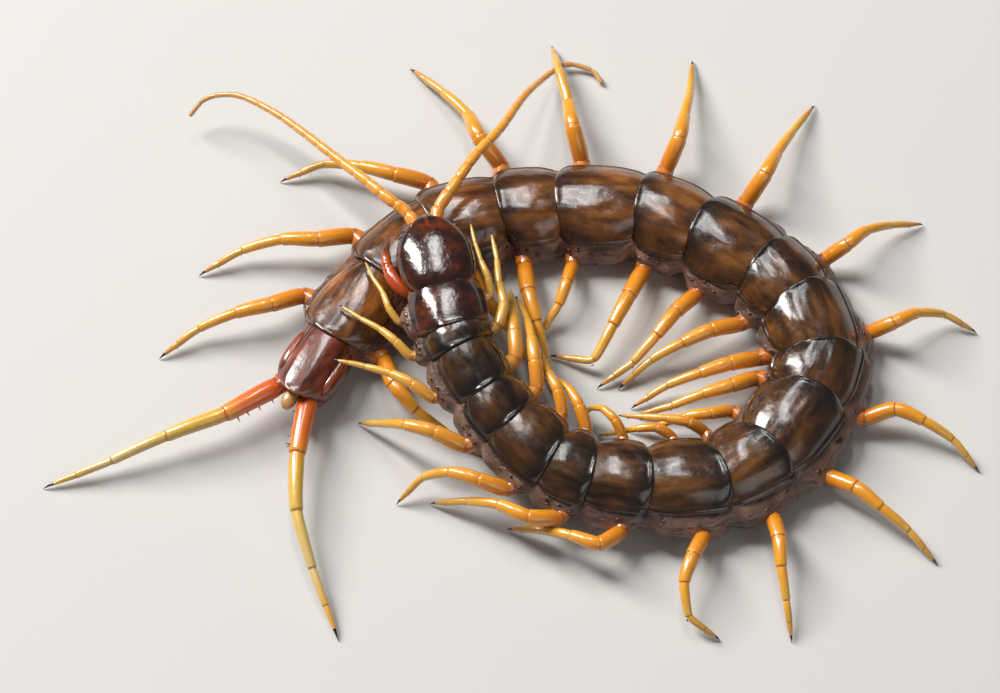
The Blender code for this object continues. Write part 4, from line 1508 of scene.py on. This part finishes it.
# %% The feelers' tree
# Each sum on the way to a feeler's girth: its result, what is done, and with what
FEELER_SUMS = (
    ("place", "MULTIPLY", "factor", "Articles"),
    ("within", "FRACT", "place"),
    ("double", "MULTIPLY", "within", 2.0),
    ("centred", "SUBTRACT", "double", 1.0),
    ("edge", "ABSOLUTE", "centred"),
    ("border", "POWER", "edge", 7.0),
    ("notch", "MULTIPLY", "border", 0.2),
    ("narrow", "SUBTRACT", 1.0, "notch"),
    ("slope", "MULTIPLY", "within", 0.05),
    ("swell", "ADD", 0.97, "slope"),
    ("span", "SUBTRACT", "Tip radius", "Base radius"),
    ("travel", "POWER", "factor", 0.8),
    ("thinning", "MULTIPLY", "span", "travel"),
    ("girth", "ADD", "Base radius", "thinning"),
    ("notched", "MULTIPLY", "girth", "narrow"),
    ("radius", "MULTIPLY", "notched", "swell"),
    ("sharp", "POWER", "border", 2.0),
    ("line", "MULTIPLY", "sharp", 0.75),
)
RINGS_PER_ARTICLE = 10
FEELER_SIDES = 18


def feeler_tree(material):
    labels = ("Articles", "Base radius", "Tip radius")
    tree, source = start_tree("feeler_articles", labels)
    curve = add_node(tree, "GeometryNodeMeshToCurve", {}, {"Mesh": source})
    count = {"Count": FEELER_ARTICLES * RINGS_PER_ARTICLE + 1}
    shape = add_node(tree, "GeometryNodeResampleCurve", count, {"Curve": curve})
    sums = {label: source.outputs[label] for label in labels}
    sums["factor"] = add_node(tree, "GeometryNodeSplineParameter").outputs["Factor"]
    for result, operation, *terms in FEELER_SUMS:
        settings, links = {"operation": operation}, {}
        for socket, term in enumerate(terms):
            if isinstance(term, str):
                links[socket] = sums[term]
            else:
                settings[socket] = term
        sums[result] = add_node(tree, "ShaderNodeMath", settings, links)
    for key, number in (("reach", "factor"), ("joint", "line")):
        settings = {"data_type": "FLOAT", "domain": "POINT", "Name": key}
        links = {"Geometry": shape, "Value": sums[number]}
        shape = add_node(tree, "GeometryNodeStoreNamedAttribute", settings, links)
    size = {"Resolution": FEELER_SIDES, "Radius": 1.0}
    ring = add_node(tree, "GeometryNodeCurvePrimitiveCircle", size)
    links = {"Curve": shape, "Profile Curve": ring, "Scale": sums["radius"]}
    swept = add_node(tree, "GeometryNodeCurveToMesh", {"Fill Caps": True}, links)
    return end_tree(tree, swept, material)


# %% The feelers themselves
feeler_shape = feeler_tree(feeler_finish)
feeler_paths = {}
for side, marks in FEELERS.items():
    route = []
    for ahead, left, up in marks:
        route.append(head_point(0.0, left, HEAD_MARGIN + 1.0 + up) - HEAD_ALONG * ahead)
    path = smooth_path(route, FEELER_POINTS)
    feeler_paths[side] = path
    mesh = bpy.data.meshes.new(f"feeler_{side}_articles")
    mesh.from_pydata([p * 0.001 for p in path], [(i, i + 1) for i in range(len(path) - 1)], [])
    piece = place_object(mesh.name, mesh)
    sizes = {
        "Articles": float(FEELER_ARTICLES),
        "Base radius": FEELER_BASE_RADIUS * 0.001,
        "Tip radius": FEELER_TIP_RADIUS * 0.001,
    }
    grow(piece, feeler_shape, sizes)
    shape = bmesh.new()
    shape.from_mesh(piece.data)
    bmesh.ops.remove_doubles(shape, verts=shape.verts, dist=1e-7)
    bmesh.ops.recalc_face_normals(shape, faces=shape.faces)
    shape.to_mesh(piece.data)
    shape.free()
    dress(piece, None, [f"feeler_{side}"])
    print(piece.name, "faces:", len(piece.data.polygons))

# %% [markdown]
# The hairs are a fifth of a millimetre long, too fine to count, but together they dull the gloss
# of the outer articles. Golden-angle steps round the feeler spread them evenly without anything
# random.

# %% Hairs on the feelers
HAIRS_PER_FEELER = 620
# The share of the feeler's length where its bare articles end
HAIRS_START = 0.36
GOLDEN_ANGLE = 2.39996
HAIR_LENGTH = 0.24
hair_finish = limb_cuticle("pale_hairs", ((0.0, "#D9B070"), (1.0, "#E8CFA0")), 0.5)
hair_notes = []
for side, path in feeler_paths.items():
    for k in range(HAIRS_PER_FEELER):
        t = between(HAIRS_START, 0.995, k / HAIRS_PER_FEELER)
        i = min(int(t * (len(path) - 1)), len(path) - 2)
        centre = between(path[i], path[i + 1], t * (len(path) - 1) - i)
        along = (path[i + 1] - path[i]).normalized()
        side_way = Vector((along.y, -along.x, 0.0)).normalized()
        up = side_way.cross(along).normalized()
        turn = k * GOLDEN_ANGLE
        outward = side_way * math.cos(turn) + up * math.sin(turn)
        radius = between(FEELER_BASE_RADIUS, FEELER_TIP_RADIUS, t**0.8)
        aim = (outward + along * 0.9).normalized()
        hair_notes.append((centre + outward * radius * 0.98, aim, HAIR_LENGTH))
hair_tree = growing_tree("grow_hairs", BRISTLE, hair_finish)
feeler_hairs = cloud("feeler_hairs", hair_notes)
grow(feeler_hairs, hair_tree, {"Stoutness": 0.13, "Stretch": 1.0})
dress(feeler_hairs, None)
print("hairs:", len(hair_notes))

# %% [markdown]
# ## Stage, light and camera
# A plain pale floor, a big soft key light from the upper left, a long soft light from behind for
# the bright band along the plates' crests, and a weak fill. The camera looks down at 64 degrees
# from half a metre away with a long lens, which keeps the loop's shape free of perspective.


# %% The floor
def pale_floor():
    material, _, shader = new_material("matt_pale_board")
    set_sockets(shader, {"Base Color": linear("#C0BFBD"), "Roughness": 0.75})
    return material


bpy.ops.mesh.primitive_plane_add(size=4.0, location=(0.0, 0.0, 0.0))
floor = bpy.context.object
floor.name = "floor"
floor.data.materials.append(pale_floor())

# %% Lights and the world
AIM = -FOOTPRINT_CENTRE * 0.001


def soft_light(name, direction, distance, size, watts, colour="#FFFFFF"):
    data = bpy.data.lights.new(name, "AREA")
    data.shape = "RECTANGLE"
    data.size, data.size_y = size
    data.energy = watts
    data.color = linear(colour)[:3]
    lamp = place_object(name, data)
    lamp.location = AIM + Vector(direction).normalized() * distance
    lamp.rotation_euler = Vector(direction).to_track_quat("Z", "Y").to_euler()
    return lamp


soft_light("key", (-0.57, 0.43, 0.72), 1.10, (0.25, 0.75), 20.0, "#FFFCF8")
soft_light("crest", (-0.02, 0.45, 0.89), 1.10, (0.13, 0.44), 2.5)
soft_light("fill", (0.5, -0.7, 0.6), 1.4, (0.8, 0.8), 2.4)
world = bpy.data.worlds.new("soft_room")
world.use_nodes = True
room = world.node_tree.nodes["Background"]
set_sockets(room, {"Color": linear("#F2F4F8"), "Strength": 0.15})
bpy.context.scene.world = world
bpy.context.scene.view_settings.view_transform = "Standard"

# %% The camera
ELEVATION = math.radians(64.0)
DISTANCE = 0.5
PIXELS_PER_WIDTH, PICTURE_SCALE = 1000, 8360.0
camera_data = bpy.data.cameras.new("camera")
camera_data.sensor_width = 36.0
camera_data.sensor_fit = "HORIZONTAL"
camera_data.lens = camera_data.sensor_width * PICTURE_SCALE * DISTANCE / PIXELS_PER_WIDTH
camera_data.clip_start = 0.01
camera = place_object("camera", camera_data)
toward_camera = Vector((0.0, -math.cos(ELEVATION), math.sin(ELEVATION)))
camera.location = AIM + toward_camera * DISTANCE
camera.rotation_euler = (math.pi / 2 - ELEVATION, 0.0, 0.0)
bpy.context.scene.camera = camera
print("lens, mm:", round(camera_data.lens, 1))
